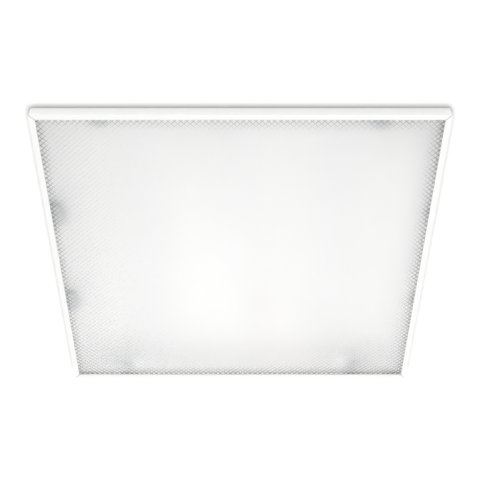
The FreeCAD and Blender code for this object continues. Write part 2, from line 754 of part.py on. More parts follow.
def clamp_screw():
    """The clamp's screw, with its head below the lower shelf."""
    x, y = CLAMP_X, CLAMP_AXIS_Y
    seat = SHELF_Z - SHELF_RUN
    tip = SHELF_TOP_Z + CLAMP_SHEET + CLAMP_SCREW_TIP
    screw = headed(CLAMP_SCREW_R, CLAMP_HEAD_R, CLAMP_HEAD_H, (x, y, seat), tip, -1)
    slot = box(x - CLAMP_HEAD_R, x + CLAMP_HEAD_R, y - CLAMP_SLOT_W / 2, y + CLAMP_SLOT_W / 2,
               seat - CLAMP_HEAD_H, seat - CLAMP_HEAD_H / 2)
    return screw.cut(slot)


def clamp_nut():
    """A flanged round nut that climbs the screw and carries the arm."""
    x, y = CLAMP_X, CLAMP_AXIS_Y
    barrel = rod(NUT_R, (x, y, NUT_Z), (x, y, NUT_Z + NUT_H))
    flange = rod(NUT_FLANGE_R, (x, y, NUT_Z - NUT_FLANGE_T), (x, y, NUT_Z))
    bore = rod(CLAMP_SCREW_R + CLAMP_RUN, (x, y, NUT_Z - NUT_FLANGE_T), (x, y, NUT_Z + NUT_H))
    return barrel.fuse(flange).cut(bore).removeSplitter()


def clamp_arm():
    """The arm that swings out over the ceiling board. It is parked along the end plate."""
    x, y = CLAMP_X, CLAMP_AXIS_Y
    low = NUT_Z + ARM_GAP
    tooth = NUT_Z - ARM_TOOTH
    hub = rod(ARM_HUB_R, (x, y, low), (x, y, low + ARM_HUB_H))
    path = [(x - ARM_L + ARM_T, tooth), (x - ARM_L + ARM_T, low), (x, low)]
    bar = folded(path, ARM_T, BEND / 2, y - ARM_W / 2, y + ARM_W / 2)
    bore = rod(NUT_R + CLAMP_RUN, (x, y, low), (x, y, low + ARM_HUB_H))
    return bar.fuse(hub).cut(bore).removeSplitter()


# --- Gear box ---
def gear_box():
    """A folded tray for the driver and the terminals, screwed to the housing by four feet."""
    hx, hy = GEAR_X / 2, GEAR_Y / 2
    outer = soft_box(-hx, hx, -hy, hy, TOP_Z, GEAR_TOP, GEAR_R)
    inner = soft_box(SHEET - hx, hx - SHEET, SHEET - hy, hy - SHEET, GEAR_FLOOR, GEAR_TOP, GEAR_R - SHEET)
    tray = outer.cut(inner)
    for x, y in gear_screw_places():
        sign = math.copysign(1, y)
        foot = box(x - FOOT_W / 2, x + FOOT_W / 2, sign * (hy - GEAR_R), sign * (hy + FOOT_L),
                   TOP_Z, GEAR_FLOOR)
        tray = tray.fuse(foot).cut(rod(GEAR_SCREW_R + FIT, (x, y, TOP_Z), (x, y, GEAR_FLOOR)))
    for side in PAIR:
        end = side * LID_HINGE_AT - LID_KNUCKLE_GAP
        start = end - LID_KNUCKLE_L
        ring = rod(LID_KNUCKLE_R, (LID_AXIS_X, start, LID_AXIS_Z), (LID_AXIS_X, end, LID_AXIS_Z))
        web = box(LID_AXIS_X, SHEET - hx, start, end, LID_AXIS_Z - WEB_T / 2, LID_AXIS_Z + WEB_T / 2)
        bore = rod(LID_PIN_R + PIN_FIT, (LID_AXIS_X, start, LID_AXIS_Z), (LID_AXIS_X, end, LID_AXIS_Z))
        tray = tray.fuse([ring, web]).cut(bore)
    tab = box(hx - SHEET - LATCH_TAB_L, hx - SHEET / 2, -LATCH_TAB_W / 2, LATCH_TAB_W / 2,
              GEAR_TOP - SHEET, GEAR_TOP)
    half_w = LATCH_BAR_W / 2 + TAB_SLOT_ROOM
    half_l = LATCH_BAR_L / 2 + TAB_SLOT_ROOM
    slot = box(LATCH_X - half_w, LATCH_X + half_w, -half_l, half_l, GEAR_TOP - SHEET, GEAR_TOP)
    tray = tray.fuse(tab).cut(slot)
    wall = (BLOCK_X, -hy, CABLE_AXIS_Z)
    entry = rod(GROMMET_NECK_R, wall, (BLOCK_X, SHEET - hy, CABLE_AXIS_Z))
    lead = rod(LEAD_HOLE_R, (LEAD_X, LEAD_Y, TOP_Z), (LEAD_X, LEAD_Y, GEAR_FLOOR))
    drills = [entry, lead]
    for y in driver_screw_places():
        drills.append(rod(DRIVER_SCREW_R + FIT, (DRIVER_X, y, TOP_Z), (DRIVER_X, y, GEAR_FLOOR)))
    tray = tray.cut(drills)
    face = (BLOCK_X, hy, CABLE_AXIS_Z)
    deep = (BLOCK_X, hy - SHEET / 2, CABLE_AXIS_Z)
    groove = rod(KNOCKOUT_R, face, deep).cut(rod(KNOCKOUT_R - KNOCKOUT_GROOVE, face, deep))
    return tray.cut(groove).removeSplitter()


def gear_screws():
    """Screws through the gear box's feet."""
    tip = TOP_UNDER - GEAR_SCREW_BELOW
    return group([headed(GEAR_SCREW_R, GEAR_SCREW_HEAD_R, GEAR_SCREW_HEAD_H, (x, y, GEAR_FLOOR), tip)
                  for x, y in gear_screw_places()])


def gear_lid():
    """The hinged cover, with skirts over three of the tray's walls."""
    hx, hy = GEAR_X / 2, GEAR_Y / 2
    top = LID_UNDER + SHEET
    out = LID_SIDE_GAP + SHEET
    outer = soft_box(-hx - hy, hx + out, -hy - out, hy + out, top - LID_SKIRT, top, GEAR_R)
    inner = soft_box(-hx - hy, hx + LID_SIDE_GAP, -hy - LID_SIDE_GAP, hy + LID_SIDE_GAP,
                     top - LID_SKIRT, LID_UNDER, GEAR_R - SHEET)
    keep = box(LID_EDGE - hx, SIDE, -SIDE, SIDE, 0, SIDE)
    lid = outer.cut(inner).common(keep)
    for side in PAIR:
        start = side * LID_HINGE_AT + LID_KNUCKLE_GAP
        end = start + LID_KNUCKLE_L
        ring = rod(LID_KNUCKLE_R, (LID_AXIS_X, start, LID_AXIS_Z), (LID_AXIS_X, end, LID_AXIS_Z))
        upright = box(LID_AXIS_X - WEB_T / 2, LID_AXIS_X + WEB_T / 2, start, end, LID_AXIS_Z, top)
        bridge = box(LID_AXIS_X - WEB_T / 2, 2 * LID_EDGE - hx, start, end, LID_UNDER, top)
        bore = rod(LID_PIN_R + PIN_RUN, (LID_AXIS_X, start, LID_AXIS_Z), (LID_AXIS_X, end, LID_AXIS_Z))
        lid = lid.fuse([ring, upright, bridge]).cut(bore)
    lid = lid.cut(rod(LATCH_R + PIN_RUN, (LATCH_X, 0, LID_UNDER), (LATCH_X, 0, top)))
    return lid.removeSplitter()


def lid_pins():
    """The lid's two hinge pins, each spread at both ends."""
    pins = []
    for side in PAIR:
        middle = side * LID_HINGE_AT
        reach = LID_KNUCKLE_L + LID_KNUCKLE_GAP + PIN_RUN
        start, stop = middle - reach, middle + reach
        pin = rod(LID_PIN_R, (LID_AXIS_X, start, LID_AXIS_Z), (LID_AXIS_X, stop, LID_AXIS_Z))
        for end in PAIR:
            foot = middle + end * reach
            top = foot + end * LID_PIN_HEAD_T
            pin = pin.fuse(rod(LID_PIN_HEAD_R, (LID_AXIS_X, foot, LID_AXIS_Z), (LID_AXIS_X, top, LID_AXIS_Z)))
        pins.append(pin.removeSplitter())
    return group(pins)


def lid_latch():
    """A quarter-turn fastener, captive in the lid, whose bar drops through the tray's slotted tab."""
    top = LID_UNDER + SHEET + PIN_RUN
    bar_top = GEAR_TOP - SHEET - LATCH_GAP
    latch = headed(LATCH_R, LATCH_HEAD_R, LATCH_HEAD_H, (LATCH_X, 0, top), bar_top - LATCH_BAR_T)
    slot_top = top + LATCH_HEAD_H
    slot = box(LATCH_X - LATCH_SLOT_W / 2, LATCH_X + LATCH_SLOT_W / 2, -LATCH_HEAD_R, LATCH_HEAD_R,
               slot_top - LATCH_HEAD_H / 2, slot_top)
    bar = box(LATCH_X - LATCH_BAR_W / 2, LATCH_X + LATCH_BAR_W / 2, -LATCH_BAR_L / 2, LATCH_BAR_L / 2,
              bar_top - LATCH_BAR_T, bar_top)
    return latch.cut(slot).fuse(bar).removeSplitter()


# --- Driver ---
def driver_screw_places():
    """The two ears of the driver's case, along y."""
    reach = DRIVER_L / 2 + DRIVER_EAR / 2
    return [DRIVER_Y - reach, DRIVER_Y + reach]


def driver_case():
    """The driver's open metal case, with a fixing ear and a lead port at each end."""
    x0, x1 = DRIVER_X - DRIVER_W / 2, DRIVER_X + DRIVER_W / 2
    y0, y1 = DRIVER_Y - DRIVER_L / 2, DRIVER_Y + DRIVER_L / 2
    wall = DRIVER_WALL
    top = GEAR_FLOOR + DRIVER_H
    case = box(x0, x1, y0, y1, GEAR_FLOOR, top)
    case = case.cut(box(x0 + wall, x1 - wall, y0 + wall, y1 - wall, GEAR_FLOOR + wall, top))
    ears = box(DRIVER_X - DRIVER_EAR_W / 2, DRIVER_X + DRIVER_EAR_W / 2, y0 - DRIVER_EAR, y1 + DRIVER_EAR,
               GEAR_FLOOR, GEAR_FLOOR + wall)
    case = case.fuse(ears)
    port_z = GEAR_FLOOR + PORT_Z
    port = box(DRIVER_X - PORT_W / 2, DRIVER_X + PORT_W / 2, y0 - 1, y1 + 1, port_z, port_z + PORT_H)
    drills = [rod(DRIVER_SCREW_R + FIT, (DRIVER_X, y, GEAR_FLOOR), (DRIVER_X, y, GEAR_FLOOR + wall))
              for y in driver_screw_places()]
    return case.cut([port] + drills).removeSplitter()


def driver_cover():
    """The driver's slotted cover plate, with two lips inside the case."""
    x0, x1 = DRIVER_X - DRIVER_W / 2, DRIVER_X + DRIVER_W / 2
    y0, y1 = DRIVER_Y - DRIVER_L / 2, DRIVER_Y + DRIVER_L / 2
    top = GEAR_FLOOR + DRIVER_H
    cover = box(x0, x1, y0, y1, top, top + DRIVER_WALL)
    inner0, inner1 = x0 + DRIVER_WALL + SEAM, x1 - DRIVER_WALL - SEAM
    for start, end in ((inner0, inner0 + DRIVER_WALL), (inner1 - DRIVER_WALL, inner1)):
        cover = cover.fuse(box(start, end, y0 + PORT_W, y1 - PORT_W, top - PORT_H, top))
    vents = []
    for n in range(VENT_COUNT):
        y = DRIVER_Y + (n - (VENT_COUNT - 1) / 2) * VENT_PITCH
        vents.append(box(DRIVER_X - VENT_L / 2, DRIVER_X + VENT_L / 2, y - VENT_W / 2, y + VENT_W / 2,
                         top, top + DRIVER_WALL))
    return cover.cut(vents).removeSplitter()


def driver_screws():
    """Screws through the driver's ears into the tray's floor."""
    seat = GEAR_FLOOR + DRIVER_WALL
    return group([headed(DRIVER_SCREW_R, DRIVER_HEAD_R, DRIVER_HEAD_H, (DRIVER_X, y, seat), TOP_Z + SEAM)
                  for y in driver_screw_places()])


# --- Terminal block ---
def way_x(way):
    """The middle of one of the block's ways."""
    return BLOCK_X + (way - (WAYS - 1) / 2) * (WAY_W + RIB_T)


def terminal_block():
    """The mains terminals: a moulded block with a lever channel and two entries for each way."""
    y0, y1 = BLOCK_Y - BLOCK_L / 2, BLOCK_Y + BLOCK_L / 2
    block = soft_box(BLOCK_X - BLOCK_W / 2, BLOCK_X + BLOCK_W / 2, y0, y1, GEAR_FLOOR, BLOCK_TOP, RIB_T / 2)
    cuts = []
    for way in range(WAYS):
        x = way_x(way)
        cuts.append(box(x - WAY_W / 2, x + WAY_W / 2, y0, y1, BLOCK_TOP - CHANNEL_H, BLOCK_TOP))
        z = GEAR_FLOOR + ENTRY_Z
        cuts.append(rod(ENTRY_R, (x, y0, z), (x, y0 + ENTRY_DEPTH, z)))
        cuts.append(rod(ENTRY_R, (x, y1, z), (x, y1 - ENTRY_DEPTH, z)))
    cuts.append(rod(LEVER_PIN_R + PIN_FIT, (BLOCK_X - BLOCK_W, LEVER_AXIS_Y, LEVER_AXIS_Z),
                    (BLOCK_X + BLOCK_W, LEVER_AXIS_Y, LEVER_AXIS_Z)))
    return block.cut(cuts)


def terminal_lever(way):
    """A lever that opens one way's spring, with a raised grip at its free end."""
    x0, x1 = way_x(way) - WAY_W / 2 + LEVER_SIDE_GAP, way_x(way) + WAY_W / 2 - LEVER_SIDE_GAP
    tip = LEVER_AXIS_Y - LEVER_L
    z = LEVER_AXIS_Z
    plate = box(x0, x1, tip, LEVER_AXIS_Y, z - LEVER_T / 2, z + LEVER_T / 2)
    grip = box(x0, x1, tip, tip + LEVER_GRIP, z, z + LEVER_T)
    boss = rod(LEVER_BOSS_R, (x0, LEVER_AXIS_Y, z), (x1, LEVER_AXIS_Y, z))
    bore = rod(LEVER_PIN_R + PIN_RUN, (x0, LEVER_AXIS_Y, z), (x1, LEVER_AXIS_Y, z))
    return plate.fuse([grip, boss]).cut(bore).removeSplitter()


def lever_pin():
    """The one pin that carries the three levers."""
    ends = [(BLOCK_X + side * BLOCK_W / 2, LEVER_AXIS_Y, LEVER_AXIS_Z) for side in PAIR]
    return rod(LEVER_PIN_R, ends[0], ends[1])


# --- Cable entry and small parts ---
def cable_grommet():
    """A rubber bush in the tray's front wall, where the mains cable enters."""
    outside = -GEAR_Y / 2
    inside = outside + SHEET
    z = CABLE_AXIS_Z
    neck = rod(GROMMET_NECK_R - FIT, (BLOCK_X, outside, z), (BLOCK_X, inside, z))
    outer = rod(GROMMET_FLANGE_R, (BLOCK_X, outside, z), (BLOCK_X, outside - GROMMET_FLANGE_T, z))
    inner = rod(GROMMET_FLANGE_R, (BLOCK_X, inside, z), (BLOCK_X, inside + GROMMET_FLANGE_T, z))
    bore = rod(CABLE_R, (BLOCK_X, outside - GROMMET_FLANGE_T, z), (BLOCK_X, inside + GROMMET_FLANGE_T, z))
    return neck.fuse([outer, inner]).cut(bore).removeSplitter()


def clamp_bolt_places():
    """The two screws of the cord clamp."""
    return [BLOCK_X + side * CLAMP_BOLT_AT for side in PAIR]


def cord_clamp_base():
    """The saddle on the tray's floor that the cable lies in."""
    y0, y1 = CLAMP_Y - CLAMP_L / 2, CLAMP_Y + CLAMP_L / 2
    base = box(BLOCK_X - CLAMP_W / 2, BLOCK_X + CLAMP_W / 2, y0, y1, GEAR_FLOOR, CABLE_AXIS_Z)
    drills = [rod(CLAMP_BOLT_R + FIT, (x, CLAMP_Y, CABLE_AXIS_Z - CLAMP_BOLT_L), (x, CLAMP_Y, CABLE_AXIS_Z))
              for x in clamp_bolt_places()]
    groove = rod(CLAMP_BORE_R, (BLOCK_X, y0, CABLE_AXIS_Z), (BLOCK_X, y1, CABLE_AXIS_Z))
    return base.cut(drills + [groove])


def cord_clamp_bar():
    """The arched bar screwed down over the cable."""
    y0, y1 = CLAMP_Y - CLAMP_L / 2, CLAMP_Y + CLAMP_L / 2
    arch_r = CLAMP_BORE_R + CLAMP_ARCH_T
    top = CABLE_AXIS_Z + CLAMP_BAR_T / 2
    bar = box(BLOCK_X - CLAMP_W / 2, BLOCK_X + CLAMP_W / 2, y0, y1, CABLE_AXIS_Z, top)
    arch = rod(arch_r, (BLOCK_X, y0, CABLE_AXIS_Z), (BLOCK_X, y1, CABLE_AXIS_Z))
    arch = arch.common(box(-SIDE, SIDE, y0, y1, CABLE_AXIS_Z, SIDE))
    drills = [rod(CLAMP_BOLT_R + FIT, (x, CLAMP_Y, CABLE_AXIS_Z), (x, CLAMP_Y, top))
              for x in clamp_bolt_places()]
    groove = rod(CLAMP_BORE_R, (BLOCK_X, y0, CABLE_AXIS_Z), (BLOCK_X, y1, CABLE_AXIS_Z))
    return bar.fuse(arch).cut(drills + [groove]).removeSplitter()


def cord_clamp_screws():
    """The clamp bar's two screws."""
    seat = CABLE_AXIS_Z + CLAMP_BAR_T / 2
    tip = CABLE_AXIS_Z - CLAMP_BOLT_L + SHEET
    return group([headed(CLAMP_BOLT_R, CLAMP_BOLT_HEAD_R, CLAMP_BOLT_HEAD_H, (x, CLAMP_Y, seat), tip)
                  for x in clamp_bolt_places()])


def earth_stud():
    """The earth stud on the tray's floor, with its hexagon nut."""
    turns = [math.radians(60 * n) for n in range(6)]
    corners = [(STUD_X + STUD_NUT_R * math.cos(a), STUD_Y + STUD_NUT_R * math.sin(a)) for a in turns]
    nut = prism(corners, GEAR_FLOOR, GEAR_FLOOR + STUD_NUT_H)
    stud = rod(STUD_R, (STUD_X, STUD_Y, GEAR_FLOOR), (STUD_X, STUD_Y, GEAR_FLOOR + STUD_H))
    return nut.fuse(stud).removeSplitter()


def lead_grommet():
    """The bush that takes the strips' leads through the tray's floor and the housing's top."""
    x, y = LEAD_X, LEAD_Y
    neck = rod(LEAD_HOLE_R - FIT, (x, y, TOP_UNDER), (x, y, GEAR_FLOOR))
    upper = rod(LEAD_FLANGE_R, (x, y, GEAR_FLOOR), (x, y, GEAR_FLOOR + LEAD_FLANGE_T))
    lower = rod(LEAD_FLANGE_R, (x, y, TOP_UNDER), (x, y, TOP_UNDER - LEAD_FLANGE_T))
    bore = rod(LEAD_BORE_R, (x, y, TOP_UNDER - LEAD_FLANGE_T), (x, y, GEAR_FLOOR + LEAD_FLANGE_T))
    return neck.fuse([upper, lower]).cut(bore).removeSplitter()


# --- Every node ---
RING = frame_ring()
REAR_PLATE = end_plate()
CORNERS = [(-1, -1), (1, -1), (1, 1), (-1, 1)]

nodes = {
    "frame_rail_hinge": hinge_rail(RING),
    "frame_rail_rear": frame_rail(RING, 1),
    "frame_rail_catch": frame_rail(RING, 2),
    "frame_rail_front": frame_rail(RING, 3),
    "corner_keys": corner_keys(),
    "lens": lens(),
    "lens_clips": lens_clips(),
    "hinge_leaves": group([hinge_leaf(side * HINGE_AT) for side in PAIR]),
    "hinge_pins": group([hinge_pin(side * HINGE_AT) for side in PAIR]),
    "hinge_brackets": group([hinge_bracket(side * HINGE_AT) for side in PAIR]),
    "bracket_rivets": bracket_rivets(),
    "catch_blades": group([catch_blade(side * HINGE_AT) for side in PAIR]),
    "catch_springs": group([catch_spring(side * HINGE_AT) for side in PAIR]),
    "housing_pan": housing_pan(),
    "end_plate_rear": REAR_PLATE,
    "end_plate_front": mirrored(REAR_PLATE, 1, -1),
    "housing_rivets": housing_rivets(),
    "led_chips": led_chips(),
    "strip_connectors": strip_connectors(),
    "strip_screws": strip_screws(),
    "clamp_brackets": group([mirrored(clamp_bracket(), sx, sy) for sx, sy in CORNERS]),
    "gear_box": gear_box(),
    "gear_screws": gear_screws(),
    "gear_lid": gear_lid(),
    "lid_pins": lid_pins(),
    "lid_latch": lid_latch(),
    "driver_case": driver_case(),
    "driver_cover": driver_cover(),
    "driver_screws": driver_screws(),
    "terminal_block": terminal_block(),
    "lever_pin": lever_pin(),
    "cable_grommet": cable_grommet(),
    "cord_clamp_base": cord_clamp_base(),
    "cord_clamp_bar": cord_clamp_bar(),
    "cord_clamp_screws": cord_clamp_screws(),
    "earth_stud": earth_stud(),
    "lead_grommet": lead_grommet(),
}
for number, x in enumerate(STRIP_X, 1):
    nodes["led_strip_%d" % number] = led_strip(x)
for number, (sx, sy) in enumerate(CORNERS, 1):
    nodes["clamp_screw_%d" % number] = mirrored(clamp_screw(), sx, sy)
    nodes["clamp_nut_%d" % number] = mirrored(clamp_nut(), sx, sy)
    nodes["clamp_arm_%d" % number] = mirrored(clamp_arm(), sx, sy)
for way in range(WAYS):
    nodes["terminal_lever_%d" % (way + 1)] = terminal_lever(way)

for name, shape in nodes.items():
    shape.exportStep("parts/%s.step" % name)
    print(name, len(shape.Solids), round(shape.Volume, 1), shape.isValid())
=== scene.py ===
import math

import bmesh
import bpy
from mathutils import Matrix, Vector


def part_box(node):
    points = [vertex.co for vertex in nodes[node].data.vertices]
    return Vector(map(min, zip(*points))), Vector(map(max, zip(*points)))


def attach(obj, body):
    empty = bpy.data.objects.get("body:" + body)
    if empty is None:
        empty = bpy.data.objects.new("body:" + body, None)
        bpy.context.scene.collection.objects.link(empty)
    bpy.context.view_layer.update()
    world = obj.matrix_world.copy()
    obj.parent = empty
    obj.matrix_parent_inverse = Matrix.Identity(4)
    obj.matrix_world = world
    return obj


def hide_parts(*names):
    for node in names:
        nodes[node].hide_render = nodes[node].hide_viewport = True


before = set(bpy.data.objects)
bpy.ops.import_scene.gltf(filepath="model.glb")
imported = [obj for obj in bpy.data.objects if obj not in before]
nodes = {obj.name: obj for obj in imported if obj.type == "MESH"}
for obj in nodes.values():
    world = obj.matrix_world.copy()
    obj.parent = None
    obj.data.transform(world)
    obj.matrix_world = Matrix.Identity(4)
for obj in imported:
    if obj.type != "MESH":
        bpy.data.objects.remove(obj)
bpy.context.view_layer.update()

MM = 0.001


# --- Door frame ---
# Four rails rolled from 0.8 mm steel, mitred at the corners and joined by keys inside. They are
# powder-coated white before assembly, so each mitre's cut edges stay bare. The grey line along each
# mitre is painted for these edges and, partly, as painted shade in the gap between the rails. The coat
# is satin, with a faint orange peel that only shows in the reflections.
def linear(hex_code):
    """An sRGB hex colour as linear red, green, blue and alpha."""
    parts = [int(hex_code[i:i + 2], 16) / 255 for i in (1, 3, 5)]
    return tuple(c / 12.92 if c <= 0.04045 else ((c + 0.055) / 1.055) ** 2.4 for c in parts) + (1.0,)


def add(tree, kind, inputs=None, **settings):
    """A shader node with its settings, and with a value or a link on each named input."""
    made = tree.nodes.new("ShaderNode" + kind)
    for key, value in settings.items():
        setattr(made, key, value)
    for key, value in (inputs or {}).items():
        if isinstance(value, bpy.types.NodeSocket):
            tree.links.new(value, made.inputs[key])
        else:
            made.inputs[key].default_value = value
    return made


def finish(name, **principled):
    """An empty material of that name with one Principled shader: (material, its tree, the shader)."""
    material = bpy.data.materials.new(name)
    material.use_nodes = True
    tree = material.node_tree
    tree.nodes.clear()
    shader = add(tree, "BsdfPrincipled", {key.replace("_", " "): value for key, value in principled.items()})
    add(tree, "OutputMaterial", {"Surface": shader.outputs[0]})
    return material, tree, shader


def millimetres(tree, stretch=(1, 1, 1)):
    """The place on the object in millimetres, each axis divided by its stretch."""
    place = add(tree, "TexCoord").outputs["Object"]
    scale = [1 / MM / s for s in stretch]
    return add(tree, "VectorMath", {0: place, 1: scale}, operation="MULTIPLY").outputs[0]


def noise(tree, size, detail=2.0, stretch=(1, 1, 1)):
    """Soft noise from 0 to 1, whose blobs are about that many millimetres across."""
    return add(tree, "TexNoise", {"Vector": millimetres(tree, stretch), "Scale": 1 / size,
                                  "Detail": detail}).outputs["Fac"]


def between(tree, factor, low, high, start=0.3, end=0.7):
    """A number from low to high as the factor runs from start to end."""
    return add(tree, "MapRange", {"Value": factor, "From Min": start, "From Max": end,
                                  "To Min": low, "To Max": high}).outputs[0]


def blend(tree, factor, first, second):
    """A colour between two colours."""
    mixer = add(tree, "Mix", {"Factor": factor, "A": first, "B": second}, data_type="RGBA")
    return mixer.outputs["Result"]


def relief(tree, shader, height, depth_mm, strength=1.0):
    """Raises the shader's surface by a height from 0 to 1 times a depth."""
    bump = add(tree, "Bump", {"Height": height, "Distance": depth_mm * MM, "Strength": strength})
    tree.links.new(bump.outputs[0], shader.inputs["Normal"])


def paint(material, slot, *names):
    """Puts a material on CAD nodes. The slot argument is not used."""
    for name in names:
        node = nodes[name]
        node.data.materials.clear()
        node.data.materials.append(material)


def number(tree, operation, *values):
    """A number worked out from one to three others."""
    return add(tree, "Math", dict(enumerate(values)), operation=operation).outputs[0]


def along(tree):
    """The place on the object in millimetres, as three numbers."""
    return add(tree, "SeparateXYZ", {"Vector": millimetres(tree)}).outputs


SEAM_MM = 0.75                              # from the mitre to where the painted gap shade and bare edge no longer show


def powder_coat(name, shade, dusty, bare_edge_and_gap_shade):
    """Satin white: soft broad highlights, a fine orange peel, and grey along the mitres, for their bare cut
    edges and as painted shade in the gap.
    """
    material, tree, shader = finish(name, Metallic=0.0, Specular_IOR_Level=0.45)
    tint = blend(tree, noise(tree, size=140), linear(shade), linear(dusty))
    x, y, _ = along(tree)
    off_mitre = number(tree, "ABSOLUTE", number(tree, "SUBTRACT", number(tree, "ABSOLUTE", x),
                                                number(tree, "ABSOLUTE", y)))
    # Painted shade: grey along each mitre, for the bare cut edges and the shade in the gap between the
    # rails.
    mitre_gap_shade_and_edge = between(tree, off_mitre, low=1.0, high=0.0, start=0.0, end=SEAM_MM)
    tree.links.new(blend(tree, mitre_gap_shade_and_edge, tint, linear(bare_edge_and_gap_shade)), shader.inputs["Base Color"])
    gloss = between(tree, noise(tree, size=18, detail=4), low=0.38, high=0.5)
    tree.links.new(gloss, shader.inputs["Roughness"])
    relief(tree, shader, noise(tree, size=1.4, detail=1.0), depth_mm=0.02)
    return material


RAILS = ["frame_rail_hinge", "frame_rail_rear", "frame_rail_catch", "frame_rail_front"]
paint(powder_coat("satin white powder coat with painted mitre shade", "#f7f8f7", "#f4f4f2", "#5c5d5e"), "white_powder_coat", *RAILS)


# --- Lens ---
# A clear polystyrene sheet pressed with small square pyramids on its lower face, set at 45 degrees
# to the frame. An opal layer on its flat back scatters the light of the four strips behind it, and a
# painted glow in it keeps the sheet nearly white. The pattern shows near the frame and towards the
# catch side, where painted shade darkens the grooves.
PRISM_SIDE = 6.25 * MM
PRISM_DEPTH = 1.15 * MM
STEP = PRISM_SIDE / math.sqrt(2)            # from a pyramid's tip to the corner of its base

lens_low, lens_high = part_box("lens")
LENS_HALF = lens_high.x
BASE_Z = lens_low.z + PRISM_DEPTH


def lens_mesh():
    """The sheet: pyramids pointing down, square edges and a flat top."""
    mesh = bmesh.new()
    reach = int(LENS_HALF / STEP) + 1
    points = {}

    def point(i, j):
        """The pattern's point, kept inside the sheet. Tips lie where i + j is even."""
        if (i, j) not in points:
            x = max(-LENS_HALF, min(LENS_HALF, i * STEP))
            y = max(-LENS_HALF, min(LENS_HALF, j * STEP))
            inside = max(abs(i), abs(j)) < reach
            z = lens_low.z if (i + j) % 2 == 0 and inside else BASE_Z
            points[i, j] = mesh.verts.new((x, y, z))
        return points[i, j]

    for i in range(-reach, reach):
        for j in range(-reach, reach):
            a, b, c, d = point(i, j), point(i + 1, j), point(i + 1, j + 1), point(i, j + 1)
            if (i + j) % 2 == 0:
                mesh.faces.new((a, d, b))
                mesh.faces.new((b, d, c))
            else:
                mesh.faces.new((a, d, c))
                mesh.faces.new((a, c, b))
    rim = [e for e in mesh.edges if e.is_boundary]
    walls = bmesh.ops.extrude_edge_only(mesh, edges=rim)
    top = [v for v in walls["geom"] if isinstance(v, bmesh.types.BMVert)]
    for vertex in top:
        vertex.co.z = lens_high.z
    loop = [e for e in walls["geom"] if isinstance(e, bmesh.types.BMEdge) and e.is_boundary]
    filled = bmesh.ops.triangle_fill(mesh, edges=loop, use_beauty=True)
    for face in filled["geom"]:
        if isinstance(face, bmesh.types.BMFace):
            face.material_index = 1
    bmesh.ops.recalc_face_normals(mesh, faces=mesh.faces)
    data = bpy.data.meshes.new("lens_prisms")
    mesh.to_mesh(data)
    return data


GROOVE_MM = 1.5                             # how far the painted shade of a groove reaches into the facets beside it
RIM_MM = 8.0                                # the lens's rim, hidden behind the frame
PAINTED_SHADE_ZONE_MM = 48.0                        # how far from the frame the painted groove shade shows
# Painted shade: how dark the grooves are painted by the frame and on the catch side.
PAINTED_FRAME_SHADE = 0.95
EDGE_FALL = 2.5                             # the power by which the painted shade fades away from the frame
PAINTED_CATCH_SIDE_SHADE = 0.45


def facets():
    """Clear pressed plastic, with a fine grey line painted along each groove between two pyramids as
    painted shade, darker by the frame and towards the catch side, where the light is uneven."""
    material, tree, shader = finish("pressed prismatic polystyrene with painted groove shade", IOR=1.59, Transmission_Weight=1.0,
                                    Roughness=0.12)
    x, y, _ = along(tree)
    half = PRISM_SIDE / MM / 2
    lines = []
    for sum_of in ("ADD", "SUBTRACT"):
        across = number(tree, "MULTIPLY", number(tree, sum_of, x, y), math.sqrt(0.5))
        off_tip = number(tree, "PINGPONG", across, half)
        lines.append(between(tree, off_tip, low=0.0, high=1.0, start=half - GROOVE_MM, end=half))
    line = number(tree, "MAXIMUM", *lines)
    # Painted shade: the groove lines grow dark near the frame and towards the catch side.
    reach = number(tree, "MAXIMUM", number(tree, "ABSOLUTE", x), number(tree, "ABSOLUTE", y))
    edge = LENS_HALF / MM - RIM_MM
    painted_frame_shade = between(tree, reach, low=0.0, high=1.0, start=edge - PAINTED_SHADE_ZONE_MM, end=edge)
    painted_frame_shade = number(tree, "MULTIPLY", number(tree, "POWER", painted_frame_shade, EDGE_FALL), PAINTED_FRAME_SHADE)
    painted_catch_side_shade = between(tree, x, low=PAINTED_CATCH_SIDE_SHADE, high=0.0, start=-edge, end=0.0)
    strength = number(tree, "MAXIMUM", painted_frame_shade, painted_catch_side_shade)
    shade = number(tree, "MULTIPLY", line, strength)
    tree.links.new(blend(tree, shade, linear("#fefefe"), linear("#3e3e3e")), shader.inputs["Base Color"])
    return material


PAINTED_LENS_GLOW = 0.176                                # the painted glow of the opal layer, at the lens's middle
PAINTED_FAR_GAIN = 0.2                              # how much more painted glow the far edge gets, and the near edge less
PAINTED_HINGE_LOSS = 0.12                           # how much less painted glow the hinge side gets


def opal_back():
    """The opal layer: finely cloudy, it scatters the strips' light, and a painted glow makes it brighter
    towards the far edge and dimmer on the hinge side.
    """
    material, tree, shader = finish("opal back of the lens with painted glow", IOR=1.59, Transmission_Weight=1.0,
                                    Roughness=0.85)
    cloud = noise(tree, size=26, detail=3)
    tree.links.new(blend(tree, cloud, linear("#fdfdfd"), linear("#fafafa")), shader.inputs["Base Color"])
    tree.links.new(blend(tree, cloud, linear("#ffffff"), linear("#fafafa")), shader.inputs["Emission Color"])
    x, y, _ = along(tree)
    edge = LENS_HALF / MM
    # Painted glow: the opal layer's emission, stronger towards the far edge and weaker on the hinge side.
    far = between(tree, y, low=1 - PAINTED_FAR_GAIN, high=1 + PAINTED_FAR_GAIN, start=-edge, end=edge)
    hinge = between(tree, x, low=1.0, high=1 - PAINTED_HINGE_LOSS, start=0.0, end=edge)
    painted_glow = number(tree, "MULTIPLY", number(tree, "MULTIPLY", far, hinge), PAINTED_LENS_GLOW)
    tree.links.new(painted_glow, shader.inputs["Emission Strength"])
    return material


lens = bpy.data.objects.new("lens_prisms", lens_mesh())
bpy.context.collection.objects.link(lens)
lens.data.materials.append(facets())
lens.data.materials.append(opal_back())
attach(lens, "door")
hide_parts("lens")


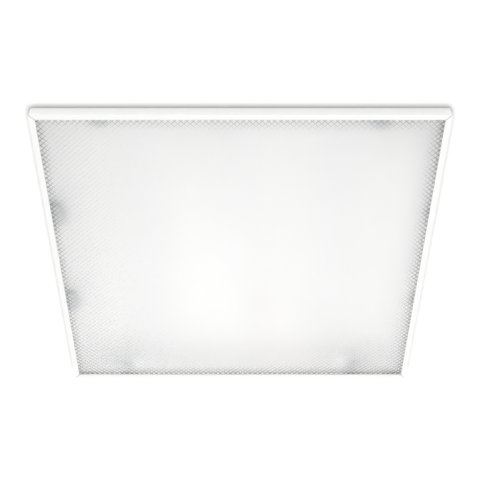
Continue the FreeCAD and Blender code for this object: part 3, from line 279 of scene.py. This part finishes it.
# --- Housing ---
# A pan folded from 0.8 mm coil-coated steel and closed by two riveted end plates. The roller-coated
# white lamp side throws the light down, with a hardly visible grain along the coil.
def coil_coat():
    """Matt white: broad soft shading, with faint streaks along the sheet."""
    material, tree, shader = finish("white coil-coated steel", Metallic=0.0)
    streaks = noise(tree, size=3, detail=3, stretch=(1, 60, 1))
    tint = blend(tree, streaks, linear("#f5f5f5"), linear("#ededed"))
    tree.links.new(tint, shader.inputs["Base Color"])
    tree.links.new(between(tree, streaks, low=0.42, high=0.52), shader.inputs["Roughness"])
    relief(tree, shader, noise(tree, size=0.9, detail=1.0), depth_mm=0.008)
    return material


paint(coil_coat(), "white_pre_coat", "housing_pan", "end_plate_rear", "end_plate_front")


# --- Light strips ---
# Four aluminium-backed boards with a white solder mask over two copper tracks, held by pan-head
# screws. Each carries 24 soldered packages: a white frame round a pool of silicone with phosphor.
def solids(name):
    """The separate solids of a CAD node, each as a list of faces of corner points, in order of place."""
    source = bmesh.new()
    source.from_mesh(nodes[name].data)
    bmesh.ops.remove_doubles(source, verts=source.verts, dist=1e-7)
    left = dict.fromkeys(source.faces)
    found = []
    while left:
        grown = [left.popitem()[0]]
        for face in grown:
            for edge in face.edges:
                for other in edge.link_faces:
                    if other in left:
                        del left[other]
                        grown.append(other)
        found.append([[tuple(v.co) for v in face.verts] for face in grown])
    source.free()
    return sorted(found, key=lambda faces: [round(c, 4) for c in corners(faces)[0]])


def corners(faces):
    """The lowest and the highest corner of a solid."""
    points = [point for face in faces for point in face]
    low, high = [[pick(point[k] for point in points) for k in range(3)] for pick in (min, max)]
    return Vector(low), Vector(high)


def piece(name, mesh, materials, body, slot, *stands_for):
    """Makes the mesh an object of that body and lets it stand for CAD nodes."""
    bmesh.ops.recalc_face_normals(mesh, faces=mesh.faces)
    data = bpy.data.meshes.new(name)
    mesh.to_mesh(data)
    mesh.free()
    for material in materials:
        data.materials.append(material)
    made = bpy.data.objects.new(name, data)
    bpy.context.collection.objects.link(made)
    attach(made, body)
    if stands_for:
        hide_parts(*stands_for)
    return made


def ring(mesh, centre, radius, z, sides):
    """A circle of points."""
    turns = [2 * math.pi * k / sides for k in range(sides)]
    return [mesh.verts.new((centre[0] + radius * math.cos(turn), centre[1] + radius * math.sin(turn), z))
            for turn in turns]


def skin(mesh, first, second, index=0):
    """Quads from one closed row of points to the next."""
    for k in range(len(first)):
        after = (k + 1) % len(first)
        mesh.faces.new((first[k], first[after], second[after], second[k])).material_index = index


def plate_round(mesh, outside, inside, index=0):
    """A flat face between an outline and a hole in it."""
    edges = []
    for row in (outside, inside):
        for k in range(len(row)):
            pair = (row[k], row[(k + 1) % len(row)])
            edges.append(mesh.edges.get(pair) or mesh.edges.new(pair))
    for face in bmesh.ops.triangle_fill(mesh, edges=edges, use_beauty=True)["geom"]:
        if isinstance(face, bmesh.types.BMFace):
            face.material_index = index


TRACK_MM = 5.4                              # from the strip's middle to the middle of a copper track
TRACK_HALF_MM = 2.2
TRACK_STEP_MM = 0.3                         # the mask's slope beside a track
MASK_GRAIN = 0.1                            # its grain, as a share of a track's height


def solder_mask():
    """Semi-gloss white, a little raised and greyer where it runs over the two copper tracks."""
    material, tree, shader = finish("white solder mask", Roughness=0.35)
    x, _, _ = along(tree)
    pitch = (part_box("led_strip_2")[0].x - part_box("led_strip_1")[0].x) / MM
    middle = number(tree, "PINGPONG", number(tree, "ADD", x, pitch), pitch / 2)
    off_middle = number(tree, "SUBTRACT", pitch / 2, middle)
    off_track = number(tree, "ABSOLUTE", number(tree, "SUBTRACT", off_middle, TRACK_MM))
    track = between(tree, off_track, low=1.0, high=0.0, start=TRACK_HALF_MM,
                    end=TRACK_HALF_MM + TRACK_STEP_MM)
    tree.links.new(blend(tree, track, linear("#f3f3ee"), linear("#dfe1dc")), shader.inputs["Base Color"])
    height = number(tree, "MULTIPLY_ADD", noise(tree, size=0.6, detail=1.0), MASK_GRAIN, track)
    relief(tree, shader, height, depth_mm=0.06)
    return material


CHIP_GLOW = 45.0


def phosphor():
    """Cast silicone with phosphor: a finely grained yellow face that gives off near-white light."""
    material, tree, shader = finish("lit phosphor silicone", Roughness=0.3, Emission_Strength=CHIP_GLOW,
                                    Emission_Color=linear("#fffefb"))
    grain = blend(tree, noise(tree, size=0.3), linear("#f4dd6a"), linear("#efd250"))
    tree.links.new(grain, shader.inputs["Base Color"])
    return material


def nylon(name, shade, second):
    """Moulded nylon: waxy, slightly see-through at its edges."""
    material, tree, shader = finish(name, Roughness=0.42, Subsurface_Weight=0.15, Subsurface_Scale=0.6 * MM)
    tint = blend(tree, noise(tree, size=6), linear(shade), linear(second))
    tree.links.new(tint, shader.inputs["Base Color"])
    relief(tree, shader, noise(tree, size=0.7, detail=2.0), depth_mm=0.01)
    return material


def zinc_plate(name, tone, blue):
    """Bright zinc: a cool metal with a faint yellow and blue cast and soft wear."""
    material, tree, shader = finish(name, Metallic=1.0)
    cast = noise(tree, size=4.5, detail=3.0)
    tree.links.new(blend(tree, cast, linear(tone), linear(blue)), shader.inputs["Base Color"])
    wear = between(tree, noise(tree, size=1.2, detail=3.0), low=0.26, high=0.42)
    tree.links.new(wear, shader.inputs["Roughness"])
    relief(tree, shader, noise(tree, size=0.5, detail=2.0), depth_mm=0.006)
    return material


ZINC = zinc_plate("bright zinc plate", "#c9cbca", "#bcc3cb")
NATURAL_NYLON = nylon("natural nylon", "#ece9de", "#e3dfd2")
paint(solder_mask(), "white_solder_mask", *["led_strip_%d" % n for n in (1, 2, 3, 4)])
paint(NATURAL_NYLON, "white_nylon", "strip_connectors", "cord_clamp_base", "cord_clamp_bar")

POOL_R = 1.12 * MM
POOL_DEPTH = 0.22 * MM
POOL_TAPER = 0.9                            # the pool's floor, as a share of its mouth
POOL_SIDES = 16
TERMINAL = 0.3 * MM                         # the soldered ends stand out of the white frame
TERMINAL_INSET = 0.12                       # and are narrower, by this share of its width on each side


def packages():
    """Every light package: the white frame, the glowing pool and the tinned ends."""
    mesh = bmesh.new()
    for faces in solids("led_chips"):
        low, high = corners(faces)
        centre = (low + high) / 2
        y0, y1 = low.y + TERMINAL, high.y - TERMINAL
        outline = [(low.x, y0), (high.x, y0), (high.x, y1), (low.x, y1)]
        under = [mesh.verts.new((x, y, low.z)) for x, y in outline]
        top = [mesh.verts.new((x, y, high.z)) for x, y in outline]
        skin(mesh, under, top)
        mesh.faces.new(top)
        rim = ring(mesh, centre, POOL_R, low.z, POOL_SIDES)
        plate_round(mesh, under, rim)
        floor = ring(mesh, centre, POOL_R * POOL_TAPER, low.z + POOL_DEPTH, POOL_SIDES)
        skin(mesh, rim, floor)
        mesh.faces.new(floor).material_index = 1
        inset = (high.x - low.x) * TERMINAL_INSET
        x0, x1 = low.x + inset, high.x - inset
        for start, end in ((low.y, y0), (y1, high.y)):
            outline = [(x0, start), (x1, start), (x1, end), (x0, end)]
            lower, upper = [[mesh.verts.new((x, y, z)) for x, y in outline]
                            for z in (low.z + TERMINAL, high.z)]
            skin(mesh, lower, upper, 2)
            mesh.faces.new(lower).material_index = 2
            mesh.faces.new(upper).material_index = 2
    return mesh


PACKAGE_FINISHES = [nylon("white package moulding", "#f4f3ee", "#eeece6"), phosphor(),
                    zinc_plate("tinned copper", "#d5d6d4", "#c6c9cb")]
piece("light_packages", packages(), PACKAGE_FINISHES, "housing", "phosphor_resin", "led_chips")

SIDES = 24                                  # of everything turned
HEAD_PROFILE = [(0.66, 0.0), (0.86, 0.12), (0.97, 0.4), (1.0, 0.75), (0.98, 1.0)]   # of radius and height
TIP_TAPER, TIP_LENGTH = 0.7, 0.15           # shares of the shank's radius and length
CROSS_ARM, CROSS_HALF = 0.46, 0.11          # half its length and half its width, in the head's radius
CROSS_TAPER, CROSS_DEPTH = 0.55, 0.6        # the recess's floor, and its depth in the head's height
CROSS = [(CROSS_ARM, -CROSS_HALF), (CROSS_ARM, CROSS_HALF), (CROSS_HALF, CROSS_HALF)]
for quarter in range(3):
    CROSS += [(-y, x) for x, y in CROSS[-3:]]


def crossed_screw(mesh, low, high, head_h, shank_r, up):
    """A pan-head screw in the box of its CAD solid, with a cross sunk in the head."""
    centre = (low + high) / 2
    head_r = (high.x - low.x) / 2
    top, seat, tip = (high.z, high.z - head_h, low.z) if up > 0 else (low.z, low.z + head_h, high.z)
    rows = [ring(mesh, centre, head_r * r, top + (seat - top) * h, SIDES) for r, h in HEAD_PROFILE]
    rows.append(ring(mesh, centre, shank_r, seat, SIDES))
    rows.append(ring(mesh, centre, shank_r, tip + (seat - tip) * TIP_LENGTH, SIDES))
    rows.append(ring(mesh, centre, shank_r * TIP_TAPER, tip, SIDES))
    for first, second in zip(rows, rows[1:]):
        skin(mesh, first, second)
    mesh.faces.new(rows[-1])
    floor_z = top + (seat - top) * CROSS_DEPTH
    mouth, floor = [[mesh.verts.new((centre.x + x * reach, centre.y + y * reach, z)) for x, y in CROSS]
                    for reach, z in ((head_r, top), (head_r * CROSS_TAPER, floor_z))]
    plate_round(mesh, rows[0], mouth)
    skin(mesh, mouth, floor)
    mesh.faces.new(floor)


def screws(name, head_h, shank_r, up):
    """All the screws of a CAD node, with cross recesses. Their heads point up (1) or down (-1)."""
    mesh = bmesh.new()
    for faces in solids(name):
        crossed_screw(mesh, *corners(faces), head_h, shank_r, up)
    made = piece(name + "_crossed", mesh, [ZINC], "housing", "zinc_plated_steel", name)
    made.data.shade_smooth()
    made.data.set_sharp_from_angle(angle=math.radians(35))


screws("strip_screws", head_h=1.5 * MM, shank_r=1.4 * MM, up=-1)


# --- Hinges, catches and rivets of the door ---
# Small pressed parts, zinc plated, riveted to the housing or spot-welded to the rails. The catch
# springs and the lens clips are blue-grey hardened strip with a fine lengthwise grain.
def spring_steel():
    """Hardened strip: darker than plate, finely brushed along its length."""
    material, tree, shader = finish("hardened spring strip", Metallic=1.0)
    grain = noise(tree, size=0.5, detail=3.0, stretch=(1, 1, 18))
    tree.links.new(blend(tree, grain, linear("#8f9194"), linear("#7c7f84")), shader.inputs["Base Color"])
    tree.links.new(between(tree, grain, low=0.28, high=0.4), shader.inputs["Roughness"])
    return material


paint(ZINC, "zinc_plated_steel", "hinge_leaves", "hinge_pins", "hinge_brackets", "bracket_rivets",
      "catch_blades", "housing_rivets")
paint(spring_steel(), "spring_steel", "catch_springs", "lens_clips")


# --- Gear box, lid, corner keys and clamp brackets ---
# Folded from hot-dip galvanised sheet, left bare. The zinc froze in large crystals, so the surface
# is a patchwork of slightly different greys.
CRYSTAL_MM = 9.0


def galvanised():
    """Spangled zinc: crystals of 6 to 14 mm, each with its own grey and gloss."""
    material, tree, shader = finish("hot-dip galvanised sheet", Metallic=1.0)
    crystals = add(tree, "TexVoronoi", {"Vector": millimetres(tree), "Scale": 1 / CRYSTAL_MM,
                                        "Randomness": 1.0})
    shade = add(tree, "SeparateColor", {"Color": crystals.outputs["Color"]}).outputs[0]
    frost = noise(tree, size=2.2, detail=4.0)
    grey = number(tree, "MULTIPLY_ADD", shade, frost, 0.1)
    tree.links.new(blend(tree, grey, linear("#a9aeb1"), linear("#c3c7c9")), shader.inputs["Base Color"])
    gloss = between(tree, shade, low=0.36, high=0.52, start=0.0, end=1.0)
    tree.links.new(gloss, shader.inputs["Roughness"])
    relief(tree, shader, frost, depth_mm=0.01)
    return material


paint(galvanised(), "galvanised_steel", "gear_box", "gear_lid", "corner_keys", "clamp_brackets")
paint(ZINC, "zinc_plated_steel", "lid_pins", "lid_latch", "lever_pin")
screws("gear_screws", head_h=2.2 * MM, shank_r=2.0 * MM, up=1)
screws("driver_screws", head_h=1.8 * MM, shank_r=1.8 * MM, up=1)
screws("cord_clamp_screws", head_h=1.8 * MM, shank_r=1.5 * MM, up=1)


# --- Ceiling clamps ---
# Four slotted screws with a rolled thread, each with a flanged nut that climbs along it and a pressed
# arm that the nut carries and that swings out over the ceiling board. All are zinc plated.
THREAD_PITCH = 2.0 * MM                     # one turn moves the nut this far
THREAD_DEPTH = 0.45 * MM
THREAD_STEPS = 8                            # rows of points in one pitch
HEAD_H = 2.6 * MM
PLAIN_SHANK = 5.0 * MM                      # below the lower shelf's far side
HAIR = 0.05 * MM
CLEAR_OF_HEAD = 1.0 * MM


def clamp_screw(name):
    """The slotted head of the CAD solid, with a rolled thread in place of its plain shank."""
    faces = solids(name)[0]
    low, high = corners(faces)
    centre = (low + high) / 2
    seat = low.z + HEAD_H
    mesh = bmesh.new()
    made = {}
    for face in faces:
        if max(z for _, _, z in face) < seat + HAIR:
            for point in face:
                if point not in made:
                    made[point] = mesh.verts.new(point)
            mesh.faces.new([made[point] for point in face])
    shank = max(math.hypot(x - centre.x, y - centre.y) for face in faces for x, y, z in face
                if z > seat + CLEAR_OF_HEAD)
    rows = []
    count = int((high.z - seat) / THREAD_PITCH * THREAD_STEPS)
    for step in range(count + 1):
        z = seat + (high.z - seat) * step / count
        cut = THREAD_DEPTH * max(0.0, min(1.0, (z - seat - PLAIN_SHANK) / THREAD_PITCH))
        row = []
        for k in range(SIDES):
            turn = k / SIDES
            flank = abs(2 * ((z / THREAD_PITCH - turn) % 1.0) - 1)
            radius = shank - cut * flank
            row.append(mesh.verts.new((centre.x + radius * math.cos(2 * math.pi * turn),
                                       centre.y + radius * math.sin(2 * math.pi * turn), z)))
        rows.append(row)
    for first, second in zip(rows, rows[1:]):
        skin(mesh, first, second)
    mesh.faces.new(rows[-1])
    return mesh


for corner in (1, 2, 3, 4):
    screw = "clamp_screw_%d" % corner
    threaded = piece(screw + "_threaded", clamp_screw(screw), [ZINC], screw, "zinc_plated_steel", screw)
    threaded.data.shade_smooth()
    threaded.data.set_sharp_from_angle(angle=math.radians(50))
    paint(ZINC, "zinc_plated_steel", "clamp_nut_%d" % corner, "clamp_arm_%d" % corner)


# --- Driver ---
# A pressed steel case with a slotted cover, stove-enamelled light grey.
def enamel():
    """Stove enamel: even, slightly glossy light grey."""
    material, tree, shader = finish("light grey stove enamel", Roughness=0.34)
    tint = blend(tree, noise(tree, size=60), linear("#e2e4e4"), linear("#d9dbdc"))
    tree.links.new(tint, shader.inputs["Base Color"])
    relief(tree, shader, noise(tree, size=1.1, detail=1.0), depth_mm=0.012)
    return material


paint(enamel(), "driver_steel", "driver_case", "driver_cover")


# --- Terminal block ---
# A grey polyamide moulding with three orange levers on one pin. The levers are glossier than the
# block, which has a fine spark-eroded texture.
def polyamide(name, shade, second, gloss):
    """Moulded polyamide with a fine spark-eroded grain."""
    material, tree, shader = finish(name, Roughness=gloss)
    tint = blend(tree, noise(tree, size=9), linear(shade), linear(second))
    tree.links.new(tint, shader.inputs["Base Color"])
    relief(tree, shader, noise(tree, size=0.35, detail=2.0), depth_mm=0.015)
    return material


paint(polyamide("grey polyamide", "#b7babb", "#adb1b2", 0.5), "grey_polyamide", "terminal_block")
paint(polyamide("orange polyamide", "#e8741c", "#df6a14", 0.3), "orange_polyamide",
      "terminal_lever_1", "terminal_lever_2", "terminal_lever_3")


# --- Grommets ---
# Moulded black rubber bushes, dull and a little dusty.
def rubber():
    """Dull black rubber with a trace of mould powder."""
    material, tree, shader = finish("black moulded rubber", Specular_IOR_Level=0.3)
    dust = noise(tree, size=2.5, detail=4.0)
    tree.links.new(blend(tree, dust, linear("#1d1d1e"), linear("#2f2f30")), shader.inputs["Base Color"])
    tree.links.new(between(tree, dust, low=0.62, high=0.8), shader.inputs["Roughness"])
    relief(tree, shader, noise(tree, size=0.6, detail=2.0), depth_mm=0.03)
    return material


paint(rubber(), "black_rubber", "cable_grommet", "lead_grommet")


# --- Earth stud ---
# A turned brass stud with its hexagon nut.
def brass():
    """Turned brass: warm metal with fine tool rings and a little tarnish."""
    material, tree, shader = finish("turned brass", Metallic=1.0)
    tarnish = noise(tree, size=1.8, detail=3.0)
    tree.links.new(blend(tree, tarnish, linear("#cfa95c"), linear("#b08c46")), shader.inputs["Base Color"])
    tree.links.new(between(tree, tarnish, low=0.22, high=0.4), shader.inputs["Roughness"])
    return material


paint(brass(), "brass", "earth_stud")


# --- Leads inside the fitting ---
# Copper leads in soft PVC: brown and blue from the terminals to the driver, green and yellow to a
# crimped lug on the earth stud, red and black down the grommet to the outer strips, and white
# jumpers from strip to strip. All are held at both ends and lie along the sheet.
def pvc(name, shade, second):
    """Extruded PVC: an even colour with a soft sheen and faint die lines."""
    material, tree, shader = finish(name, Roughness=0.36, Specular_IOR_Level=0.45)
    tint = blend(tree, noise(tree, size=3.5), linear(shade), linear(second))
    tree.links.new(tint, shader.inputs["Base Color"])
    relief(tree, shader, noise(tree, size=0.4, detail=2.0), depth_mm=0.012)
    return material


STRIPE_SIDE = (0.58, 0.57, 0.58)            # the green halves face this way and the opposite way


def striped_pvc():
    """Green and yellow halves along the lead, told apart by the side that the surface faces."""
    material, tree, shader = finish("green and yellow PVC", Roughness=0.36, Specular_IOR_Level=0.45)
    facing = add(tree, "VectorMath", {0: add(tree, "NewGeometry").outputs["Normal"], 1: STRIPE_SIDE},
                 operation="DOT_PRODUCT").outputs["Value"]
    stripe = between(tree, number(tree, "ABSOLUTE", facing), low=0.0, high=1.0, start=0.5, end=0.54)
    tree.links.new(blend(tree, stripe, linear("#e3c021"), linear("#2f7d3c")), shader.inputs["Base Color"])
    relief(tree, shader, noise(tree, size=0.4, detail=2.0), depth_mm=0.012)
    return material


ARC_STEPS = 7
BEND_SHARE = 0.48                           # of a run, at most, so that two bends never meet


def bent(points, bend):
    """The route with each corner rounded by that bend."""
    route = [Vector(points[0])]
    for before, corner, after in zip(points, points[1:], points[2:]):
        before, corner, after = Vector(before), Vector(corner), Vector(after)
        back, on = before - corner, after - corner
        cut = min(bend, BEND_SHARE * back.length, BEND_SHARE * on.length)
        start, end = corner + back.normalized() * cut, corner + on.normalized() * cut
        for step in range(ARC_STEPS + 1):
            s = step / ARC_STEPS
            route.append(start * (1 - s) ** 2 + corner * 2 * s * (1 - s) + end * s ** 2)
    return route + [Vector(points[-1])]


def lead(name, points, radius, bend, material):
    """One lead along a route given in millimetres."""
    curve = bpy.data.curves.new(name, "CURVE")
    curve.dimensions = "3D"
    curve.bevel_depth = radius * MM
    curve.bevel_resolution = 3
    curve.use_fill_caps = True
    route = bent(points, bend)
    spline = curve.splines.new("POLY")
    spline.points.add(len(route) - 1)
    for point, place in zip(spline.points, route):
        point.co = (*(place * MM), 1.0)
    spline.use_smooth = True
    made = bpy.data.objects.new(name, curve)
    bpy.context.collection.objects.link(made)
    curve.materials.append(material)
    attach(made, "housing")


MAINS_R, LAMP_R = 1.1, 0.9                  # over the insulation, in millimetres as all that follows
MAINS_BEND, LAMP_BEND = 6.0, 5.0
TRAY_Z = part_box("earth_stud")[0].z / MM     # the gear tray's floor
ENTRY_Z, PORT_Z = TRAY_Z + 6.5, TRAY_Z + 12.5   # the terminals' entries and the driver's ports
FLOOR_RUN_Z, LUG_Z = TRAY_Z + 2.4, TRAY_Z + 4.8
LIVE_X, EARTH_X, NEUTRAL_X = 19.3, 28.0, 36.7   # the terminals' three ways
TERMINAL_Y, DRIVER_FRONT_Y, DRIVER_REAR_Y = -95.0, -45.0, 95.0
PORT_1_X, PORT_2_X = -30.0, -24.0
STUD_X, BARREL_Y = 2.0, -122.0
lead("live_lead", [(LIVE_X, TERMINAL_Y, ENTRY_Z), (LIVE_X, -66, ENTRY_Z), (PORT_1_X, -66, PORT_Z),
                   (PORT_1_X, DRIVER_FRONT_Y, PORT_Z)],
     MAINS_R, MAINS_BEND, pvc("brown PVC", "#6b4226", "#5f3a21"))
lead("neutral_lead", [(NEUTRAL_X, TERMINAL_Y, ENTRY_Z), (NEUTRAL_X, -60, ENTRY_Z), (PORT_2_X, -60, PORT_Z),
                      (PORT_2_X, DRIVER_FRONT_Y, PORT_Z)],
     MAINS_R, MAINS_BEND, pvc("blue PVC", "#2f6fae", "#2a65a1"))
lead("earth_lead", [(EARTH_X, TERMINAL_Y, ENTRY_Z), (EARTH_X, -83, ENTRY_Z), (EARTH_X, -73, FLOOR_RUN_Z),
                    (STUD_X, -73, FLOOR_RUN_Z), (STUD_X, -113, LUG_Z), (STUD_X, BARREL_Y, LUG_Z)],
     MAINS_R, MAINS_BEND, striped_pvc())

GROMMET_Y = 100.0
RUN_Y, RUN_Z = 277.0, 66.0                  # along the end plate, under the housing's top
PLUG_Y, PLUG_Z = 259.0, 68.3                # in the strip connectors
for name, port_x, turn_y, grommet_x, strip_x, cover in (
        ("lamp_lead_catch_side", PORT_2_X, 113, 28.8, -220, pvc("black PVC", "#2a2a2b", "#323233")),
        ("lamp_lead_hinge_side", PORT_1_X, 119, 31.2, 220, pvc("red PVC", "#b3302a", "#a62b26"))):
    lead(name, [(port_x, DRIVER_REAR_Y, PORT_Z), (port_x, turn_y, PORT_Z), (grommet_x, turn_y, PORT_Z),
                (grommet_x, GROMMET_Y, PORT_Z), (grommet_x, GROMMET_Y, RUN_Z), (grommet_x, RUN_Y, RUN_Z),
                (strip_x, RUN_Y, RUN_Z), (strip_x, 266, PLUG_Z), (strip_x, PLUG_Y, PLUG_Z)],
         LAMP_R, LAMP_BEND, cover)

JUMPER_SPAN = 140.0
JUMPER_Y = 270.0
WHITE_PVC = pvc("white PVC", "#eceae4", "#e4e2dc")
for gap, middle in enumerate((-145.0, 0.0, 145.0), 1):
    left, right = middle - JUMPER_SPAN / 2, middle + JUMPER_SPAN / 2
    lead("jumper_%d" % gap, [(left, PLUG_Y, PLUG_Z), (left, JUMPER_Y, PLUG_Z), (right, JUMPER_Y, PLUG_Z),
                             (right, PLUG_Y, PLUG_Z)], LAMP_R, LAMP_BEND, WHITE_PVC)

# Radius and height over the tray of the ring and of the nut on it, then place and radius of the barrel.
RING_PROFILE = [(2.05, 3.25), (4.0, 3.25), (4.0, 4.05), (2.05, 4.05)]
NUT_SIDES = 6
NUT_PROFILE = [(3.9, 4.1), (4.0, 4.45), (4.0, 6.85), (3.7, 7.25)]
BARREL_PROFILE = [(-126.5, 1.5), (-126, 1.6), (-123.4, 1.6), (-122.6, 1.3), (-121.8, 1.6), (-118.3, 1.6),
                  (-118, 1.5)]


def earth_lug():
    """A tinned ring lug with its crimped barrel, and the upper hexagon nut that holds it."""
    mesh = bmesh.new()
    stud_low, stud_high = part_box("earth_stud")
    centre = (stud_low + stud_high) / 2
    rows = [ring(mesh, centre, radius * MM, (TRAY_Z + z) * MM, SIDES) for radius, z in RING_PROFILE]
    for first, second in zip(rows, rows[1:] + rows[:1]):
        skin(mesh, first, second)
    nut = [ring(mesh, centre, radius * MM, (TRAY_Z + z) * MM, NUT_SIDES) for radius, z in NUT_PROFILE]
    barrel = []
    for y, radius in BARREL_PROFILE:
        turns = [2 * math.pi * k / SIDES for k in range(SIDES)]
        places = [(STUD_X + radius * math.cos(turn), y, LUG_Z + radius * math.sin(turn)) for turn in turns]
        barrel.append([mesh.verts.new(Vector(place) * MM) for place in places])
    for part in (nut, barrel):
        for first, second in zip(part, part[1:]):
            skin(mesh, first, second)
        mesh.faces.new(part[0])
    mesh.faces.new(nut[-1])
    return mesh


piece("earth_lug", earth_lug(), [zinc_plate("tinned lug", "#cfd0ce", "#c2c5c8")], "housing",
      "zinc_plated_steel")


# --- Ceiling ---
# The painted board that the light is let into, with its cut-out hidden behind the frame. It is white
# to the camera apart from a contact shadow painted along the frame from ambient occlusion, and can't
# be seen from above.
CUT_OUT = 295.5 * MM
CEILING_REACH = 8.0
PAINTED_SHADOW_REACH = 13 * MM                      # the contact shadow painted along the frame
PAINTED_SHADOW_DEPTH = 0.6
CAMERA_LIFT = 0.12
CEILING_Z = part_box("end_plate_rear")[0].z + 0.8 * MM


def seen_rays(tree):
    """1 for the rays that show a thing: from the camera, off a gloss or through clear plastic."""
    path = add(tree, "LightPath").outputs
    return number(tree, "MAXIMUM", path["Is Camera Ray"],
                  number(tree, "MAXIMUM", path["Is Glossy Ray"], path["Is Transmission Ray"]))


def ceiling_material():
    """Matt white paint with a contact shadow painted by the frame, seen from below only."""
    material = bpy.data.materials.new("matt ceiling paint with painted contact shadow")
    material.use_nodes = True
    tree = material.node_tree
    tree.nodes.clear()
    near = add(tree, "AmbientOcclusion", {"Distance": PAINTED_SHADOW_REACH}, samples=16).outputs["AO"]
    # Painted shadow: the paint and its glow darken where the ambient occlusion finds the frame near.
    shade = between(tree, near, low=PAINTED_SHADOW_DEPTH, high=1.0, start=0.5, end=1.0)
    paint_layer = add(tree, "BsdfDiffuse", {"Color": blend(tree, shade, (0, 0, 0, 1), linear("#fdfdfd"))})
    painted_glow = add(tree, "Emission", {"Color": blend(tree, shade, (0, 0, 0, 1), (1, 1, 1, 1)),
                                  "Strength": number(tree, "MULTIPLY", seen_rays(tree), CAMERA_LIFT)})
    below = add(tree, "AddShader", {0: paint_layer.outputs[0], 1: painted_glow.outputs[0]})
    above = add(tree, "NewGeometry").outputs["Backfacing"]
    clear = add(tree, "BsdfTransparent")
    mix = add(tree, "MixShader", {0: above, 1: below.outputs[0], 2: clear.outputs[0]})
    add(tree, "OutputMaterial", {"Surface": mix.outputs[0]})
    return material


def ceiling_mesh():
    """Four quads round the cut-out, facing down."""
    near, far = CUT_OUT, CEILING_REACH
    corners = [(-1, -1), (1, -1), (1, 1), (-1, 1)]
    points = [(sx * r, sy * r, CEILING_Z) for r in (near, far) for sx, sy in corners]
    faces = [(n, (n + 1) % 4, 4 + (n + 1) % 4, 4 + n) for n in range(4)]
    data = bpy.data.meshes.new("ceiling")
    data.from_pydata(points, [], faces)
    return data


ceiling = bpy.data.objects.new("ceiling", ceiling_mesh())
bpy.context.collection.objects.link(ceiling)
ceiling.data.materials.append(ceiling_material())

# --- Floor ---
# A plain pale floor far below the ceiling, for the views from above. Only the camera sees it, so it
# takes no light away.
FLOOR_Z = -2.5
FLOOR_HALF = 6.0
floor_data = bpy.data.meshes.new("floor")
floor_corners = [(x * FLOOR_HALF, y * FLOOR_HALF, FLOOR_Z) for x, y in ((-1, -1), (1, -1), (1, 1), (-1, 1))]
floor_data.from_pydata(floor_corners, [], [(0, 1, 2, 3)])
floor = bpy.data.objects.new("floor", floor_data)
bpy.context.collection.objects.link(floor)
floor_paint, floor_tree, floor_shader = finish("pale floor", Roughness=0.8, Emission_Strength=0.75,
                                               Emission_Color=linear("#f6f6f5"))
floor_tree.links.new(blend(floor_tree, noise(floor_tree, size=300), linear("#f2f2f1"), linear("#ededec")),
                     floor_shader.inputs["Base Color"])
floor.data.materials.append(floor_paint)
floor.visible_diffuse = False
floor.visible_glossy = False
floor.visible_transmission = False
floor.visible_shadow = False

# --- Light and camera ---
# A bright room: an even white surround, a broad soft light from the far side below the ceiling, a
# lower one behind the camera, and one over the ceiling for the housing.
BELOW, ABOVE = 0.75, 0.5                    # strength of the surround's light under and over the ceiling
world = bpy.data.worlds.new("room")
bpy.context.scene.world = world
world.use_nodes = True
world_tree = world.node_tree
world_tree.nodes.clear()
direction = add(world_tree, "TexCoord").outputs["Generated"]
height = add(world_tree, "SeparateXYZ", {"Vector": direction}).outputs[2]
surround = between(world_tree, height, low=BELOW, high=ABOVE, start=-0.05, end=0.05)
strength = number(world_tree, "MAXIMUM", surround, seen_rays(world_tree))
room = add(world_tree, "Background", {"Color": (1, 1, 1, 1), "Strength": strength})
add(world_tree, "OutputWorld", {"Surface": room.outputs[0]})


def lamp(name, place, target, size, watts):
    """A square soft light turned to a target."""
    data = bpy.data.lights.new(name, "AREA")
    data.size = size
    data.energy = watts
    made = bpy.data.objects.new(name, data)
    made.location = place
    made.rotation_euler = (Vector(target) - Vector(place)).to_track_quat("-Z", "Y").to_euler()
    bpy.context.collection.objects.link(made)
    return made


lamp("far lamp", (0.35, 1.1, -3.0), (0, 0, 0), 2.0, 32)
lamp("lamp over the ceiling", (1.5, -1.3, 2.3), (0, 0, 0.05), 1.6, 28)
lamp("lamp behind the camera", (-1.3, -3.3, -1.2), (0, 0, 0), 2.0, 20)

IMAGE_PX = 480
FOCAL_PX = 1032.5
SENSOR_MM = 36.0
camera_data = bpy.data.cameras.new("camera")
camera_data.sensor_width = SENSOR_MM
camera_data.lens = FOCAL_PX * SENSOR_MM / IMAGE_PX
camera = bpy.data.objects.new("camera", camera_data)
camera.location = (-0.0004, -1.1847, -1.1489)
camera.rotation_euler = (math.radians(90 + 45.41), 0, 0)
bpy.context.collection.objects.link(camera)
bpy.context.scene.camera = camera
bpy.context.scene.view_settings.view_transform = "Standard"
